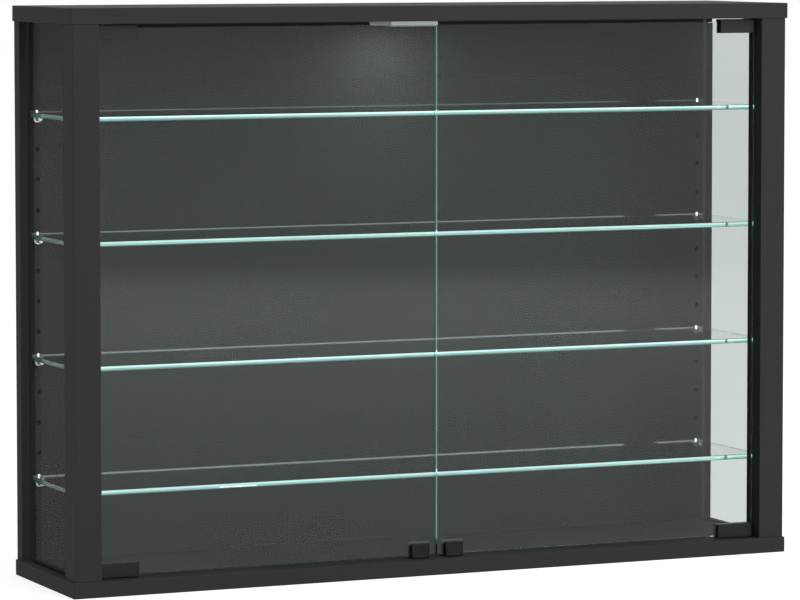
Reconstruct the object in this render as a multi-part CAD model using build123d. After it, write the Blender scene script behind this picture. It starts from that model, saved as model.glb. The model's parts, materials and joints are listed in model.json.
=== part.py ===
from build123d import *
import os

# A shallow glass display cabinet: two boards, two front posts and a back wall, glass sides,
# glass shelves on pegs, and two frameless glass doors that turn on clamp hinges.
# Millimetres. X is the width, the front faces -Y, Z is up, and the origin is the middle of the base.

# Carcass
WIDTH = 800.0
HEIGHT = 584.0
DEPTH = 180.0
BOARD = 16.0
BACK_WALL = 16.0
END_OVERHANG = 2.0
FRONT_OVERHANG = 1.5
POST_WIDTH = 28.0
POST_DEPTH = 30.0
BOARD_EDGE_RADIUS = 0.7
POST_EDGE_RADIUS = 0.4

# Side glass and its grooves
SIDE_GLASS = 4.0
SIDE_GLASS_SETBACK = 7.5
GROOVE_DEPTH = 5.0
GROOVE_PLAY = 0.2
GLASS_ARRIS = 0.4

# Shelves, and the pegs that carry them
SHELF = 5.0
SHELF_COUNT = 4
HOLES_PER_SHELF = 4
SHELF_SIDE_GAP = 1.0
SHELF_FRONT_GAP = 1.5
SHELF_REAR_GAP = 2.0
PEG_INSET = 19.5
LOWEST_PEG = 79.8
HOLE_PITCH = 31.1
PEG_RADIUS = 2.5
PEG_DEPTH = 8.0
PEG_PLAY = 0.05
PEG_COLLAR_RADIUS = 4.0
PEG_COLLAR = 1.0
PEG_TONGUE = 10.0
PEG_SEAT_RISE = 1.8

# Doors
DOOR_GLASS = 4.0
DOOR_SETBACK = 16.0
DOOR_SIDE_GAP = 1.0
DOOR_MEETING_GAP = 2.0
DOOR_BOTTOM_GAP = 2.5
DOOR_TOP_GAP = 4.0

# Clamp hinges
CLAMP_LENGTH = 42.5
CLAMP_HEIGHT = 14.5
CLAMP_GAP = 1.0
CLAMP_FRONT_WALL = 3.6
CLAMP_REAR_WALL = 2.0
CLAMP_END_RADIUS = 3.5
CLAMP_EDGE_RADIUS = 0.6
CLAMP_PAD = 0.4
PRESSURE_PLATE = 0.5
GRUB_RADIUS = 2.0
GRUB_SOCKET_RADIUS = 1.0
GRUB_SOCKET_DEPTH = 1.2
GRUB_SPACING = 18.0
PIVOT_INSET = 9.0
PIVOT_RADIUS = 1.75
PIVOT_HEAD_RADIUS = 2.3
PIVOT_HEAD = 0.6
PIVOT_REACH = 9.0
RUNNING_CLEARANCE = 0.05
BUSH_WALL = 1.5
BUSH_DEPTH = 10.0
BUSH_FLANGE_RADIUS = 5.0
BUSH_FLANGE = 0.7

# Pull blocks and steel strike clips at the inner bottom corners of the doors
PULL_WIDTH = 20.0
PULL_HEIGHT = 15.0
PULL_THICKNESS = 4.0
PULL_EDGE_INSET = 8.0
PULL_FLOOR_GAP = 0.5
PULL_EDGE_RADIUS = 0.6
CLIP_SHEET = 0.8
CLIP_WIDTH = 24.4
CLIP_RISE = 14.8
CLIP_FRONT_WIDTH = 16.0
CLIP_FRONT_RISE = 11.0
CLIP_PLAY = 0.1

# Magnet catches behind the strike clips
CATCH_WIDTH = 12.0
CATCH_HEIGHT = 12.0
CATCH_DEPTH = 7.0
CATCH_FOOT_DEPTH = 8.0
CATCH_FOOT = 2.5
CATCH_GAP = 0.3
MAGNET_WIDTH = 8.0
MAGNET_HEIGHT = 7.0
MAGNET_DEPTH = 3.0
MAGNET_RISE = 3.5

# Light under the top board
LIGHT_WIDTH = 52.5
LIGHT_DEPTH = 56.0
LIGHT_HEIGHT = 6.5
LIGHT_SETBACK = 71.0
LIGHT_ROOF = 1.2
LIGHT_SIDE_WALL = 3.5
LIGHT_EDGE_RADIUS = 2.0
LENS = 1.5
LENS_PLAY = 0.2
LIGHT_BOARD_WIDTH = 30.0
LIGHT_BOARD_DEPTH = 40.0
LIGHT_BOARD = 1.0
LED_SIZE = 3.5
LED_HEIGHT = 0.8
LED_ROWS = 3
LED_COLUMNS = 3
LED_SPACING = 10.0
LIGHT_SCREW_INSET = 7.5
INLET_WIDTH = 9.0
INLET_HEIGHT = 4.5
INLET_LENGTH = 5.0
INLET_BORE_RADIUS = 1.4

# Small wood screws
SCREW_RADIUS = 1.5
SCREW_HEAD_RADIUS = 2.8
SCREW_HEAD = 1.5
SCREW_LENGTH = 11.0
SCREW_PLAY = 0.05

# Joining screws, their caps, and dowels
JOINT_SCREW_RADIUS = 2.5
JOINT_SCREW_LENGTH = 48.0
JOINT_HEAD_RADIUS = 4.5
JOINT_HEAD = 3.0
JOINT_SOCKET_RADIUS = 2.0
JOINT_SOCKET_DEPTH = 2.0
CAP_RADIUS = 4.5
CAP_THICKNESS = 1.6
DOWEL_RADIUS = 4.0
DOWEL_LENGTH = 28.0
POST_SCREW_FROM_FRONT = 8.0
POST_DOWEL_FROM_FRONT = 19.0
WALL_SCREW_INSET = 60.0
WALL_DOWEL_INSET = 230.0

# Hanger plates let into the rear face
HANGER_WIDTH = 60.0
HANGER_HEIGHT = 36.0
HANGER_SHEET = 2.0
HANGER_FROM_SIDE = 120.0
HANGER_FROM_TOP = 64.0
HANGER_CAVITY_DEPTH = 7.0
HANGER_CAVITY_WIDTH = 28.0
HANGER_CAVITY_HEIGHT = 30.0
HANGER_SCREW_SPACING = 46.0
KEYHOLE_RADIUS = 5.0
KEYHOLE_SLOT_RADIUS = 2.5
KEYHOLE_RISE = 11.0
KEYHOLE_DROP = 5.0

# Faces and lines worked out from the sizes above
FRONT = -DEPTH / 2
REAR = DEPTH / 2
END = WIDTH / 2
FLOOR = BOARD
CEILING = HEIGHT - BOARD
CARCASS_END = END - END_OVERHANG
POST_FRONT = FRONT + FRONT_OVERHANG
POST_REAR = POST_FRONT + POST_DEPTH
POST_INNER = CARCASS_END - POST_WIDTH
WALL_FRONT = REAR - BACK_WALL
SIDE_GLASS_OUTER = CARCASS_END - SIDE_GLASS_SETBACK
SIDE_GLASS_INNER = SIDE_GLASS_OUTER - SIDE_GLASS
PEG_X = CARCASS_END - PEG_INSET
SHELF_END = SIDE_GLASS_INNER - SHELF_SIDE_GAP
SHELF_FRONT = POST_REAR + SHELF_FRONT_GAP
SHELF_REAR = WALL_FRONT - SHELF_REAR_GAP
HOLE_COUNT = HOLES_PER_SHELF * (SHELF_COUNT - 1) + 1
HOLE_HEIGHTS = [FLOOR + LOWEST_PEG + HOLE_PITCH * k for k in range(HOLE_COUNT)]
PEG_HEIGHTS = HOLE_HEIGHTS[::HOLES_PER_SHELF]
DOOR_FRONT = FRONT + DOOR_SETBACK
DOOR_REAR = DOOR_FRONT + DOOR_GLASS
DOOR_OUTER = POST_INNER - DOOR_SIDE_GAP
DOOR_INNER = DOOR_MEETING_GAP / 2
DOOR_BOTTOM = FLOOR + DOOR_BOTTOM_GAP
DOOR_TOP = CEILING - DOOR_TOP_GAP
CLAMP_FRONT = DOOR_FRONT - CLAMP_PAD - CLAMP_FRONT_WALL
CLAMP_REAR = DOOR_REAR + PRESSURE_PLATE + CLAMP_REAR_WALL
PIVOT_X = DOOR_OUTER - PIVOT_INSET
PIVOT_Y = (DOOR_FRONT + DOOR_REAR) / 2
PULL_X = DOOR_INNER + PULL_EDGE_INSET + PULL_WIDTH / 2
PULL_BOTTOM = FLOOR + PULL_FLOOR_GAP
CATCH_FRONT = DOOR_REAR + CLIP_SHEET + CATCH_GAP
LIGHT_FRONT = FRONT + LIGHT_SETBACK
LIGHT_MIDDLE = LIGHT_FRONT + LIGHT_DEPTH / 2
LIGHT_BOTTOM = CEILING - LIGHT_HEIGHT
HANGER_Z = HEIGHT - HANGER_FROM_TOP
HANGER_X = END - HANGER_FROM_SIDE
WALL_MIDDLE = (WALL_FRONT + REAR) / 2
POST_MIDDLE = (CARCASS_END + POST_INNER) / 2
CAP_HOLE = CAP_THICKNESS + JOINT_HEAD


def block(x, y, z):
    """A box from three pairs of limits, given in either order."""
    sizes = [abs(b - a) for a, b in (x, y, z)]
    middle = [(a + b) / 2 for a, b in (x, y, z)]
    return Pos(*middle) * Box(*sizes)


def rod(radius, start, end):
    """A round bar from one point to another."""
    axis = Vector(*end) - Vector(*start)
    foot = Plane(origin=start, z_dir=axis)
    stand = (Align.CENTER, Align.CENTER, Align.MIN)
    return foot * Cylinder(radius, axis.length, align=stand)


def cone(low_radius, high_radius, start, end):
    """A round taper from one point to another."""
    axis = Vector(*end) - Vector(*start)
    foot = Plane(origin=start, z_dir=axis)
    stand = (Align.CENTER, Align.CENTER, Align.MIN)
    return foot * Cone(low_radius, high_radius, axis.length, align=stand)


def along(point, direction, distance):
    """The point at a distance from another, in one direction."""
    return tuple(p + d * distance for p, d in zip(point, direction))


def mirrored(shape):
    """The same shape on the other side of the cabinet."""
    return mirror(shape, about=Plane.YZ)


def both_sides(shape):
    """A shape and its mirror image, as separate solids."""
    return [shape, mirrored(shape)]


def save(name, *shapes):
    """Writes the separate solids of one node to its STEP file."""
    solids = [solid for shape in shapes for solid in shape.solids()]
    node = solids[0] if len(solids) == 1 else Compound(children=solids)
    node.label = name
    export_step(node, f"parts/{name}.step")


def glass_sheet(x, y, z):
    """A sheet of glass with its sharp edges taken off."""
    sheet = block(x, y, z)
    return chamfer(sheet.edges(), GLASS_ARRIS)


def small_screw(head, direction):
    """A countersunk wood screw: the flat of its head, and the way it drives."""
    neck = along(head, direction, SCREW_HEAD)
    tip = along(head, direction, SCREW_LENGTH)
    return cone(SCREW_HEAD_RADIUS, SCREW_RADIUS, head, neck) + rod(SCREW_RADIUS, neck, tip)


def small_screw_hole(head, direction):
    """The room for a small screw."""
    neck = along(head, direction, SCREW_HEAD)
    tip = along(head, direction, SCREW_LENGTH)
    sink = cone(SCREW_HEAD_RADIUS + SCREW_PLAY, SCREW_RADIUS + SCREW_PLAY, head, neck)
    return sink + rod(SCREW_RADIUS + SCREW_PLAY, neck, tip)


def joint_places():
    """Where screws and dowels join a board to the posts and the back wall: two lists of (x, y)."""
    screws = [(side * POST_MIDDLE, POST_FRONT + POST_SCREW_FROM_FRONT) for side in (-1, 1)]
    screws += [(x, WALL_MIDDLE) for x in (WALL_SCREW_INSET - END, 0, END - WALL_SCREW_INSET)]
    dowels = [(side * POST_MIDDLE, POST_FRONT + POST_DOWEL_FROM_FRONT) for side in (-1, 1)]
    dowels += [(x, WALL_MIDDLE) for x in (WALL_DOWEL_INSET - END, END - WALL_DOWEL_INSET)]
    return screws, dowels


def joint_screw(x, y, outer, inward):
    """A joining screw driven from the outer face of a board; inward is +1 or -1 along Z."""
    head = outer + inward * CAP_THICKNESS
    neck = head + inward * JOINT_HEAD
    tip = head + inward * JOINT_SCREW_LENGTH
    socket = head + inward * JOINT_SOCKET_DEPTH
    screw = rod(JOINT_HEAD_RADIUS, (x, y, head), (x, y, neck))
    screw += rod(JOINT_SCREW_RADIUS, (x, y, neck), (x, y, tip))
    return screw - rod(JOINT_SOCKET_RADIUS, (x, y, head), (x, y, socket))


def joint_screw_hole(x, y, outer, inward):
    """The room for a joining screw and the cap over it."""
    neck = outer + inward * CAP_HOLE
    tip = outer + inward * (CAP_THICKNESS + JOINT_SCREW_LENGTH)
    sink = rod(JOINT_HEAD_RADIUS + SCREW_PLAY, (x, y, outer), (x, y, neck))
    return sink + rod(JOINT_SCREW_RADIUS + SCREW_PLAY, (x, y, neck), (x, y, tip))


def joint_holes():
    """Every hole for the joining screws and dowels, at the bottom and at the top."""
    screws, dowels = joint_places()
    holes = [joint_screw_hole(x, y, 0, 1) for x, y in screws]
    holes += [joint_screw_hole(x, y, HEIGHT, -1) for x, y in screws]
    half = DOWEL_LENGTH / 2
    for x, y in dowels:
        for z in (FLOOR, CEILING):
            holes.append(rod(DOWEL_RADIUS + SCREW_PLAY, (x, y, z - half), (x, y, z + half)))
    return holes


def side_glass_room():
    """The grooves for the right side glass, cut as one slab."""
    x = (SIDE_GLASS_INNER - GROOVE_PLAY, SIDE_GLASS_OUTER + GROOVE_PLAY)
    y = (POST_REAR - GROOVE_DEPTH - GROOVE_PLAY, WALL_FRONT + GROOVE_DEPTH + GROOVE_PLAY)
    z = (FLOOR - GROOVE_DEPTH - GROOVE_PLAY, CEILING + GROOVE_DEPTH + GROOVE_PLAY)
    return block(x, y, z)


def side_glass():
    """The right side glass, which reaches into the grooves on all four sides."""
    x = (SIDE_GLASS_INNER, SIDE_GLASS_OUTER)
    y = (POST_REAR - GROOVE_DEPTH, WALL_FRONT + GROOVE_DEPTH)
    z = (FLOOR - GROOVE_DEPTH, CEILING + GROOVE_DEPTH)
    return glass_sheet(x, y, z)


def bush_hole(z, outward):
    """The room in a board for the right pivot bush; outward is the way from the door."""
    radius = PIVOT_RADIUS + RUNNING_CLEARANCE + BUSH_WALL
    return rod(radius, (PIVOT_X, PIVOT_Y, z), (PIVOT_X, PIVOT_Y, z + outward * BUSH_DEPTH))


def bush(z, outward):
    """A plain pivot bush with a flange on the face of its board."""
    bore = PIVOT_RADIUS + RUNNING_CLEARANCE
    flange_end = (PIVOT_X, PIVOT_Y, z - outward * BUSH_FLANGE)
    deep_end = (PIVOT_X, PIVOT_Y, z + outward * BUSH_DEPTH)
    body = rod(bore + BUSH_WALL, (PIVOT_X, PIVOT_Y, z), deep_end)
    body += rod(BUSH_FLANGE_RADIUS, (PIVOT_X, PIVOT_Y, z), flange_end)
    return body - rod(bore, flange_end, deep_end)


def peg_hole(z, face, inward):
    """A right-hand hole for a shelf peg; inward is +1 or -1 along Y."""
    return rod(PEG_RADIUS + PEG_PLAY, (PEG_X, face, z), (PEG_X, face + inward * PEG_DEPTH, z))


def make_carcass():
    """Boards, posts and back wall, with every groove and hole cut."""
    grooves = both_sides(side_glass_room())
    joints = joint_holes()
    top = block((-END, END), (FRONT, REAR), (CEILING, HEIGHT))
    bottom = block((-END, END), (FRONT, REAR), (0, BOARD))
    top = fillet(top.edges(), BOARD_EDGE_RADIUS)
    bottom = fillet(bottom.edges(), BOARD_EDGE_RADIUS)
    top -= grooves + joints + both_sides(bush_hole(CEILING, 1))
    top -= [small_screw_hole(head, (0, 0, 1)) for head in light_screw_heads()]
    bottom -= grooves + joints + both_sides(bush_hole(FLOOR, -1))
    bottom -= both_sides(small_screw_hole(catch_screw_head(), (0, 0, -1)))
    save("top_board", top)
    save("bottom_board", bottom)

    post = block((POST_INNER, CARCASS_END), (POST_FRONT, POST_REAR), (FLOOR, CEILING))
    post = fillet(post.edges().filter_by(Axis.Z), POST_EDGE_RADIUS)
    post -= [peg_hole(z, POST_REAR, -1) for z in HOLE_HEIGHTS]
    save("front_post_right", post - grooves - joints)
    save("front_post_left", mirrored(post) - grooves - joints)

    wall = block((-CARCASS_END, CARCASS_END), (WALL_FRONT, REAR), (FLOOR, CEILING))
    wall = fillet(wall.edges().filter_by(Axis.Z), POST_EDGE_RADIUS)
    for z in HOLE_HEIGHTS:
        wall -= both_sides(peg_hole(z, WALL_FRONT, 1))
    wall -= both_sides(hanger_room())
    save("back_wall", wall - grooves - joints)


def make_side_glass():
    """The two fixed side panes."""
    save("side_glass_right", side_glass())
    save("side_glass_left", mirrored(side_glass()))


def peg(z, seat, direction):
    """A right-hand shelf peg: a round pin, a collar, and a flat-topped tongue for the glass."""
    face = (PEG_X, seat, z)
    inner = along(face, direction, -PEG_DEPTH)
    collar_end = along(face, direction, PEG_COLLAR)
    tongue_end = along(face, direction, PEG_COLLAR + PEG_TONGUE)
    over = (z + PEG_SEAT_RISE, z + PEG_COLLAR_RADIUS)
    above = block((PEG_X - PEG_RADIUS, PEG_X + PEG_RADIUS), (collar_end[1], tongue_end[1]), over)
    pin = rod(PEG_RADIUS, inner, tongue_end) - above
    return pin + rod(PEG_COLLAR_RADIUS, face, collar_end)


def make_shelves():
    """The glass shelves, counted from the top, each with its four pegs."""
    for number, z in enumerate(reversed(PEG_HEIGHTS), start=1):
        seat = z + PEG_SEAT_RISE
        glass = glass_sheet((-SHELF_END, SHELF_END), (SHELF_FRONT, SHELF_REAR), (seat, seat + SHELF))
        save(f"glass_shelf_{number}", glass)
        front = peg(z, POST_REAR, (0, 1, 0))
        rear = peg(z, WALL_FRONT, (0, -1, 0))
        save(f"shelf_pegs_{number}", *both_sides(front), *both_sides(rear))


def clamp_levels():
    """For each clamp: its outer end, the edge of the glass, its inner end, and the way out."""
    bottom = (FLOOR + CLAMP_GAP, DOOR_BOTTOM, FLOOR + CLAMP_GAP + CLAMP_HEIGHT, -1)
    top = (CEILING - CLAMP_GAP, DOOR_TOP, CEILING - CLAMP_GAP - CLAMP_HEIGHT, 1)
    return {"bottom": bottom, "top": top}


def grub_places():
    """The middles of the two grub screws along a right-hand clamp."""
    middle = DOOR_OUTER - CLAMP_LENGTH / 2
    return [middle - GRUB_SPACING / 2, middle + GRUB_SPACING / 2]


def clamp(outer, edge, inner, out):
    """A right-hand clamp casting: a channel that takes the glass, rounded at the end by the post."""
    x = (DOOR_OUTER - CLAMP_LENGTH, DOOR_OUTER)
    body = block(x, (CLAMP_FRONT, CLAMP_REAR), (outer, inner))
    upright = body.edges().filter_by(Axis.Z)
    near_post = upright.group_by(Axis.X)[-1].sort_by(Axis.Y)[0]
    body = fillet(near_post, CLAMP_END_RADIUS)
    front_edges = body.faces().sort_by(Axis.Y)[0].edges()
    body = fillet(front_edges, CLAMP_EDGE_RADIUS)
    channel = (DOOR_FRONT - CLAMP_PAD, DOOR_REAR + PRESSURE_PLATE)
    body -= block((x[0] - 1, x[1] + 1), channel, (edge, inner - out))
    recess = edge + out * PIVOT_HEAD
    body -= rod(PIVOT_HEAD_RADIUS + SCREW_PLAY, (PIVOT_X, PIVOT_Y, edge), (PIVOT_X, PIVOT_Y, recess))
    body -= rod(PIVOT_RADIUS, (PIVOT_X, PIVOT_Y, recess), (PIVOT_X, PIVOT_Y, outer + out))
    height = (edge + inner) / 2
    for place in grub_places():
        body -= rod(GRUB_RADIUS, (place, channel[1], height), (place, CLAMP_REAR + 1, height))
    return body


def pivot_pin(outer, edge, out):
    """The pin that the door turns on, with its head under the edge of the glass."""
    recess = edge + out * PIVOT_HEAD
    tip = outer + out * (CLAMP_GAP + PIVOT_REACH)
    head = rod(PIVOT_HEAD_RADIUS, (PIVOT_X, PIVOT_Y, edge), (PIVOT_X, PIVOT_Y, recess))
    return head + rod(PIVOT_RADIUS, (PIVOT_X, PIVOT_Y, recess), (PIVOT_X, PIVOT_Y, tip))


def grub_screw(place, height):
    """A grub screw that presses the plate on the glass, with its socket at the rear."""
    socket = CLAMP_REAR - GRUB_SOCKET_DEPTH
    screw = rod(GRUB_RADIUS, (place, DOOR_REAR + PRESSURE_PLATE, height), (place, CLAMP_REAR, height))
    return screw - rod(GRUB_SOCKET_RADIUS, (place, socket, height), (place, CLAMP_REAR, height))


def strike_clip():
    """The right-hand steel clip round the bottom edge of the glass; the magnet pulls on its rear leaf."""
    bridge = (DOOR_BOTTOM - CLIP_SHEET, DOOR_BOTTOM)
    wide = (PULL_X - CLIP_WIDTH / 2, PULL_X + CLIP_WIDTH / 2)
    narrow = (PULL_X - CLIP_FRONT_WIDTH / 2, PULL_X + CLIP_FRONT_WIDTH / 2)
    rear = block(wide, (DOOR_REAR, DOOR_REAR + CLIP_SHEET), (bridge[0], DOOR_BOTTOM + CLIP_RISE))
    under = block(narrow, (DOOR_FRONT - CLIP_SHEET, DOOR_REAR), bridge)
    front = block(narrow, (DOOR_FRONT - CLIP_SHEET, DOOR_FRONT), (bridge[1], DOOR_BOTTOM + CLIP_FRONT_RISE))
    return rear + under + front


def pull_block():
    """The right-hand pull on the front of the glass, with a pocket for the front leaf of the clip."""
    x = (PULL_X - PULL_WIDTH / 2, PULL_X + PULL_WIDTH / 2)
    body = block(x, (DOOR_FRONT - PULL_THICKNESS, DOOR_FRONT), (PULL_BOTTOM, PULL_BOTTOM + PULL_HEIGHT))
    body = fillet(body.faces().sort_by(Axis.Y)[0].edges(), PULL_EDGE_RADIUS)
    half = CLIP_FRONT_WIDTH / 2 + CLIP_PLAY
    pocket = (DOOR_FRONT - CLIP_SHEET - CLIP_PLAY, DOOR_FRONT)
    top = DOOR_BOTTOM + CLIP_FRONT_RISE + CLIP_PLAY
    bottom = DOOR_BOTTOM - CLIP_SHEET - CLIP_PLAY
    return body - block((PULL_X - half, PULL_X + half), pocket, (bottom, top))


def make_doors():
    """Both doors: the right one is made, and the left one is its mirror image."""
    pane = glass_sheet((DOOR_INNER, DOOR_OUTER), (DOOR_FRONT, DOOR_REAR), (DOOR_BOTTOM, DOOR_TOP))
    pieces = {"door_glass": [pane]}
    screws = []
    plates = []
    pads = []
    x = (DOOR_OUTER - CLAMP_LENGTH, DOOR_OUTER - CLAMP_END_RADIUS)
    for level, (outer, edge, inner, out) in clamp_levels().items():
        pieces[f"hinge_clamp_{level}"] = [clamp(outer, edge, inner, out)]
        pieces[f"hinge_pin_{level}"] = [pivot_pin(outer, edge, out)]
        screws += [grub_screw(place, (edge + inner) / 2) for place in grub_places()]
        pads.append(block(x, (DOOR_FRONT - CLAMP_PAD, DOOR_FRONT), (edge, inner)))
        plates.append(block(x, (DOOR_REAR, DOOR_REAR + PRESSURE_PLATE), (edge, inner)))
    pieces["clamp_screws"] = screws
    pieces["clamp_pads"] = pads
    pieces["pressure_plates"] = plates
    pieces["strike_clip"] = [strike_clip()]
    pieces["door_pull"] = [pull_block()]
    for name, shapes in pieces.items():
        save(f"{name}_right", *shapes)
        save(f"{name}_left", *[mirrored(shape) for shape in shapes])
    for level, z, outward in (("bottom", FLOOR, -1), ("top", CEILING, 1)):
        save(f"hinge_bushes_{level}", *both_sides(bush(z, outward)))


def catch_screw_head():
    """The flat of the right catch screw's head, on the foot of the catch."""
    return (PULL_X, CATCH_FRONT + CATCH_DEPTH + CATCH_FOOT_DEPTH / 2, FLOOR + CATCH_FOOT)


def make_catches():
    """The two magnet catches: a housing with a foot, a magnet in its front, and a screw in the floor."""
    x = (PULL_X - CATCH_WIDTH / 2, PULL_X + CATCH_WIDTH / 2)
    tower = block(x, (CATCH_FRONT, CATCH_FRONT + CATCH_DEPTH), (FLOOR, FLOOR + CATCH_HEIGHT))
    tower = fillet(tower.edges().group_by(Axis.Z)[-1], PULL_EDGE_RADIUS)
    foot_rear = CATCH_FRONT + CATCH_DEPTH + CATCH_FOOT_DEPTH
    foot = block(x, (CATCH_FRONT + CATCH_DEPTH, foot_rear), (FLOOR, FLOOR + CATCH_FOOT))
    rise = FLOOR + MAGNET_RISE
    magnet = block((PULL_X - MAGNET_WIDTH / 2, PULL_X + MAGNET_WIDTH / 2),
                   (CATCH_FRONT, CATCH_FRONT + MAGNET_DEPTH), (rise, rise + MAGNET_HEIGHT))
    down = (0, 0, -1)
    housing = tower + foot - magnet - small_screw_hole(catch_screw_head(), down)
    save("catch_housing_right", housing)
    save("catch_housing_left", mirrored(housing))
    save("catch_magnets", *both_sides(magnet))
    save("catch_screws", *both_sides(small_screw(catch_screw_head(), down)))


def light_screw_heads():
    """The flats of the heads of the light's two screws, inside its housing."""
    z = CEILING - LIGHT_ROOF
    return [(side * (LIGHT_WIDTH / 2 - LIGHT_SCREW_INSET), LIGHT_MIDDLE, z) for side in (-1, 1)]


def make_light():
    """The flat light under the top board: housing, lens, lamp board, lamps, screws and inlet."""
    half = LIGHT_WIDTH / 2
    rear = LIGHT_FRONT + LIGHT_DEPTH
    shell = block((-half, half), (LIGHT_FRONT, rear), (LIGHT_BOTTOM, CEILING))
    shell = fillet(shell.edges().group_by(Axis.Z)[0], LIGHT_EDGE_RADIUS)
    inner = (LIGHT_SIDE_WALL - half, half - LIGHT_SIDE_WALL)
    inner_rear = rear - LIGHT_SIDE_WALL
    inner_y = (LIGHT_FRONT + LIGHT_SIDE_WALL, inner_rear)
    room = block(inner, inner_y, (LIGHT_BOTTOM - 1, CEILING - LIGHT_ROOF))
    inlet_box = block((-INLET_WIDTH / 2, INLET_WIDTH / 2), (inner_rear, inner_rear + INLET_LENGTH),
                      (CEILING - INLET_HEIGHT, CEILING))
    up = (0, 0, 1)
    screw_holes = [small_screw_hole(head, up) for head in light_screw_heads()]
    save("light_housing", shell - room - inlet_box - screw_holes)
    save("light_screws", *[small_screw(head, up) for head in light_screw_heads()])

    lens_x = (inner[0] + LENS_PLAY, inner[1] - LENS_PLAY)
    lens_y = (inner_y[0] + LENS_PLAY, inner_y[1] - LENS_PLAY)
    save("light_lens", block(lens_x, lens_y, (LIGHT_BOTTOM, LIGHT_BOTTOM + LENS)))

    board_top = CEILING - LIGHT_ROOF
    board_bottom = board_top - LIGHT_BOARD
    board_y = (LIGHT_MIDDLE - LIGHT_BOARD_DEPTH / 2, LIGHT_MIDDLE + LIGHT_BOARD_DEPTH / 2)
    board_x = (-LIGHT_BOARD_WIDTH / 2, LIGHT_BOARD_WIDTH / 2)
    save("light_board", block(board_x, board_y, (board_bottom, board_top)))
    leds = []
    for row in range(LED_ROWS):
        for column in range(LED_COLUMNS):
            x = (column - (LED_COLUMNS - 1) / 2) * LED_SPACING
            y = LIGHT_MIDDLE + (row - (LED_ROWS - 1) / 2) * LED_SPACING
            leds.append(block((x - LED_SIZE / 2, x + LED_SIZE / 2), (y - LED_SIZE / 2, y + LED_SIZE / 2),
                              (board_bottom - LED_HEIGHT, board_bottom)))
    save("light_leds", *leds)
    mouth = (0, inner_rear + INLET_LENGTH, CEILING - INLET_HEIGHT / 2)
    save("light_inlet", inlet_box - rod(INLET_BORE_RADIUS, mouth, along(mouth, (0, -1, 0), INLET_LENGTH)))


def make_joints():
    """The screws, caps and dowels that hold the boards to the posts and the back wall."""
    screws, dowels = joint_places()
    save("bottom_screws", *[joint_screw(x, y, 0, 1) for x, y in screws])
    save("top_screws", *[joint_screw(x, y, HEIGHT, -1) for x, y in screws])
    under = HEIGHT - CAP_THICKNESS
    save("top_screw_caps", *[rod(CAP_RADIUS, (x, y, under), (x, y, HEIGHT)) for x, y in screws])
    half = DOWEL_LENGTH / 2
    for name, z in (("dowels_bottom", FLOOR), ("dowels_top", CEILING)):
        save(name, *[rod(DOWEL_RADIUS, (x, y, z - half), (x, y, z + half)) for x, y in dowels])


def hanger_screw_heads():
    """The flats of the heads of the right hanger plate's two screws."""
    half = HANGER_SCREW_SPACING / 2
    return [(HANGER_X - half, REAR, HANGER_Z), (HANGER_X + half, REAR, HANGER_Z)]


def hanger_room():
    """The pocket, cavity and screw holes for the right hanger plate."""
    half = HANGER_WIDTH / 2
    cavity = HANGER_CAVITY_WIDTH / 2
    room = block((HANGER_X - half - SCREW_PLAY, HANGER_X + half + SCREW_PLAY), (REAR - HANGER_SHEET, REAR),
                 (HANGER_Z - HANGER_HEIGHT / 2 - SCREW_PLAY, HANGER_Z + HANGER_HEIGHT / 2 + SCREW_PLAY))
    room += block((HANGER_X - cavity, HANGER_X + cavity), (REAR - HANGER_SHEET - HANGER_CAVITY_DEPTH, REAR),
                  (HANGER_Z - HANGER_CAVITY_HEIGHT / 2, HANGER_Z + HANGER_CAVITY_HEIGHT / 2))
    return room + [small_screw_hole(head, (0, -1, 0)) for head in hanger_screw_heads()]


def make_hangers():
    """The two keyhole plates that the cabinet hangs by, flush with its rear face."""
    half = HANGER_WIDTH / 2
    plate = block((HANGER_X - half, HANGER_X + half), (REAR - HANGER_SHEET, REAR),
                  (HANGER_Z - HANGER_HEIGHT / 2, HANGER_Z + HANGER_HEIGHT / 2))
    mouth = HANGER_Z - KEYHOLE_DROP
    inside = REAR - HANGER_SHEET
    plate -= rod(KEYHOLE_RADIUS, (HANGER_X, inside, mouth), (HANGER_X, REAR, mouth))
    slot_top = mouth + KEYHOLE_RISE
    plate -= rod(KEYHOLE_SLOT_RADIUS, (HANGER_X, inside, slot_top), (HANGER_X, REAR, slot_top))
    slot = (HANGER_X - KEYHOLE_SLOT_RADIUS, HANGER_X + KEYHOLE_SLOT_RADIUS)
    plate -= block(slot, (inside, REAR), (mouth, slot_top))
    inward = (0, -1, 0)
    plate -= [small_screw_hole(head, inward) for head in hanger_screw_heads()]
    save("hanger_plate_right", plate)
    save("hanger_plate_left", mirrored(plate))
    screws = [small_screw(head, inward) for head in hanger_screw_heads()]
    save("hanger_screws", *[side for screw in screws for side in both_sides(screw)])


def main():
    """Writes every node of the cabinet."""
    os.makedirs("parts", exist_ok=True)
    make_carcass()
    make_side_glass()
    make_shelves()
    make_doors()
    make_catches()
    make_light()
    make_joints()
    make_hangers()


main()
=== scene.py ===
"""Looks, light and camera of the display cabinet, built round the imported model."""
import json
import logging
import math
from dataclasses import dataclass
from enum import Enum
from functools import cached_property

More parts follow.
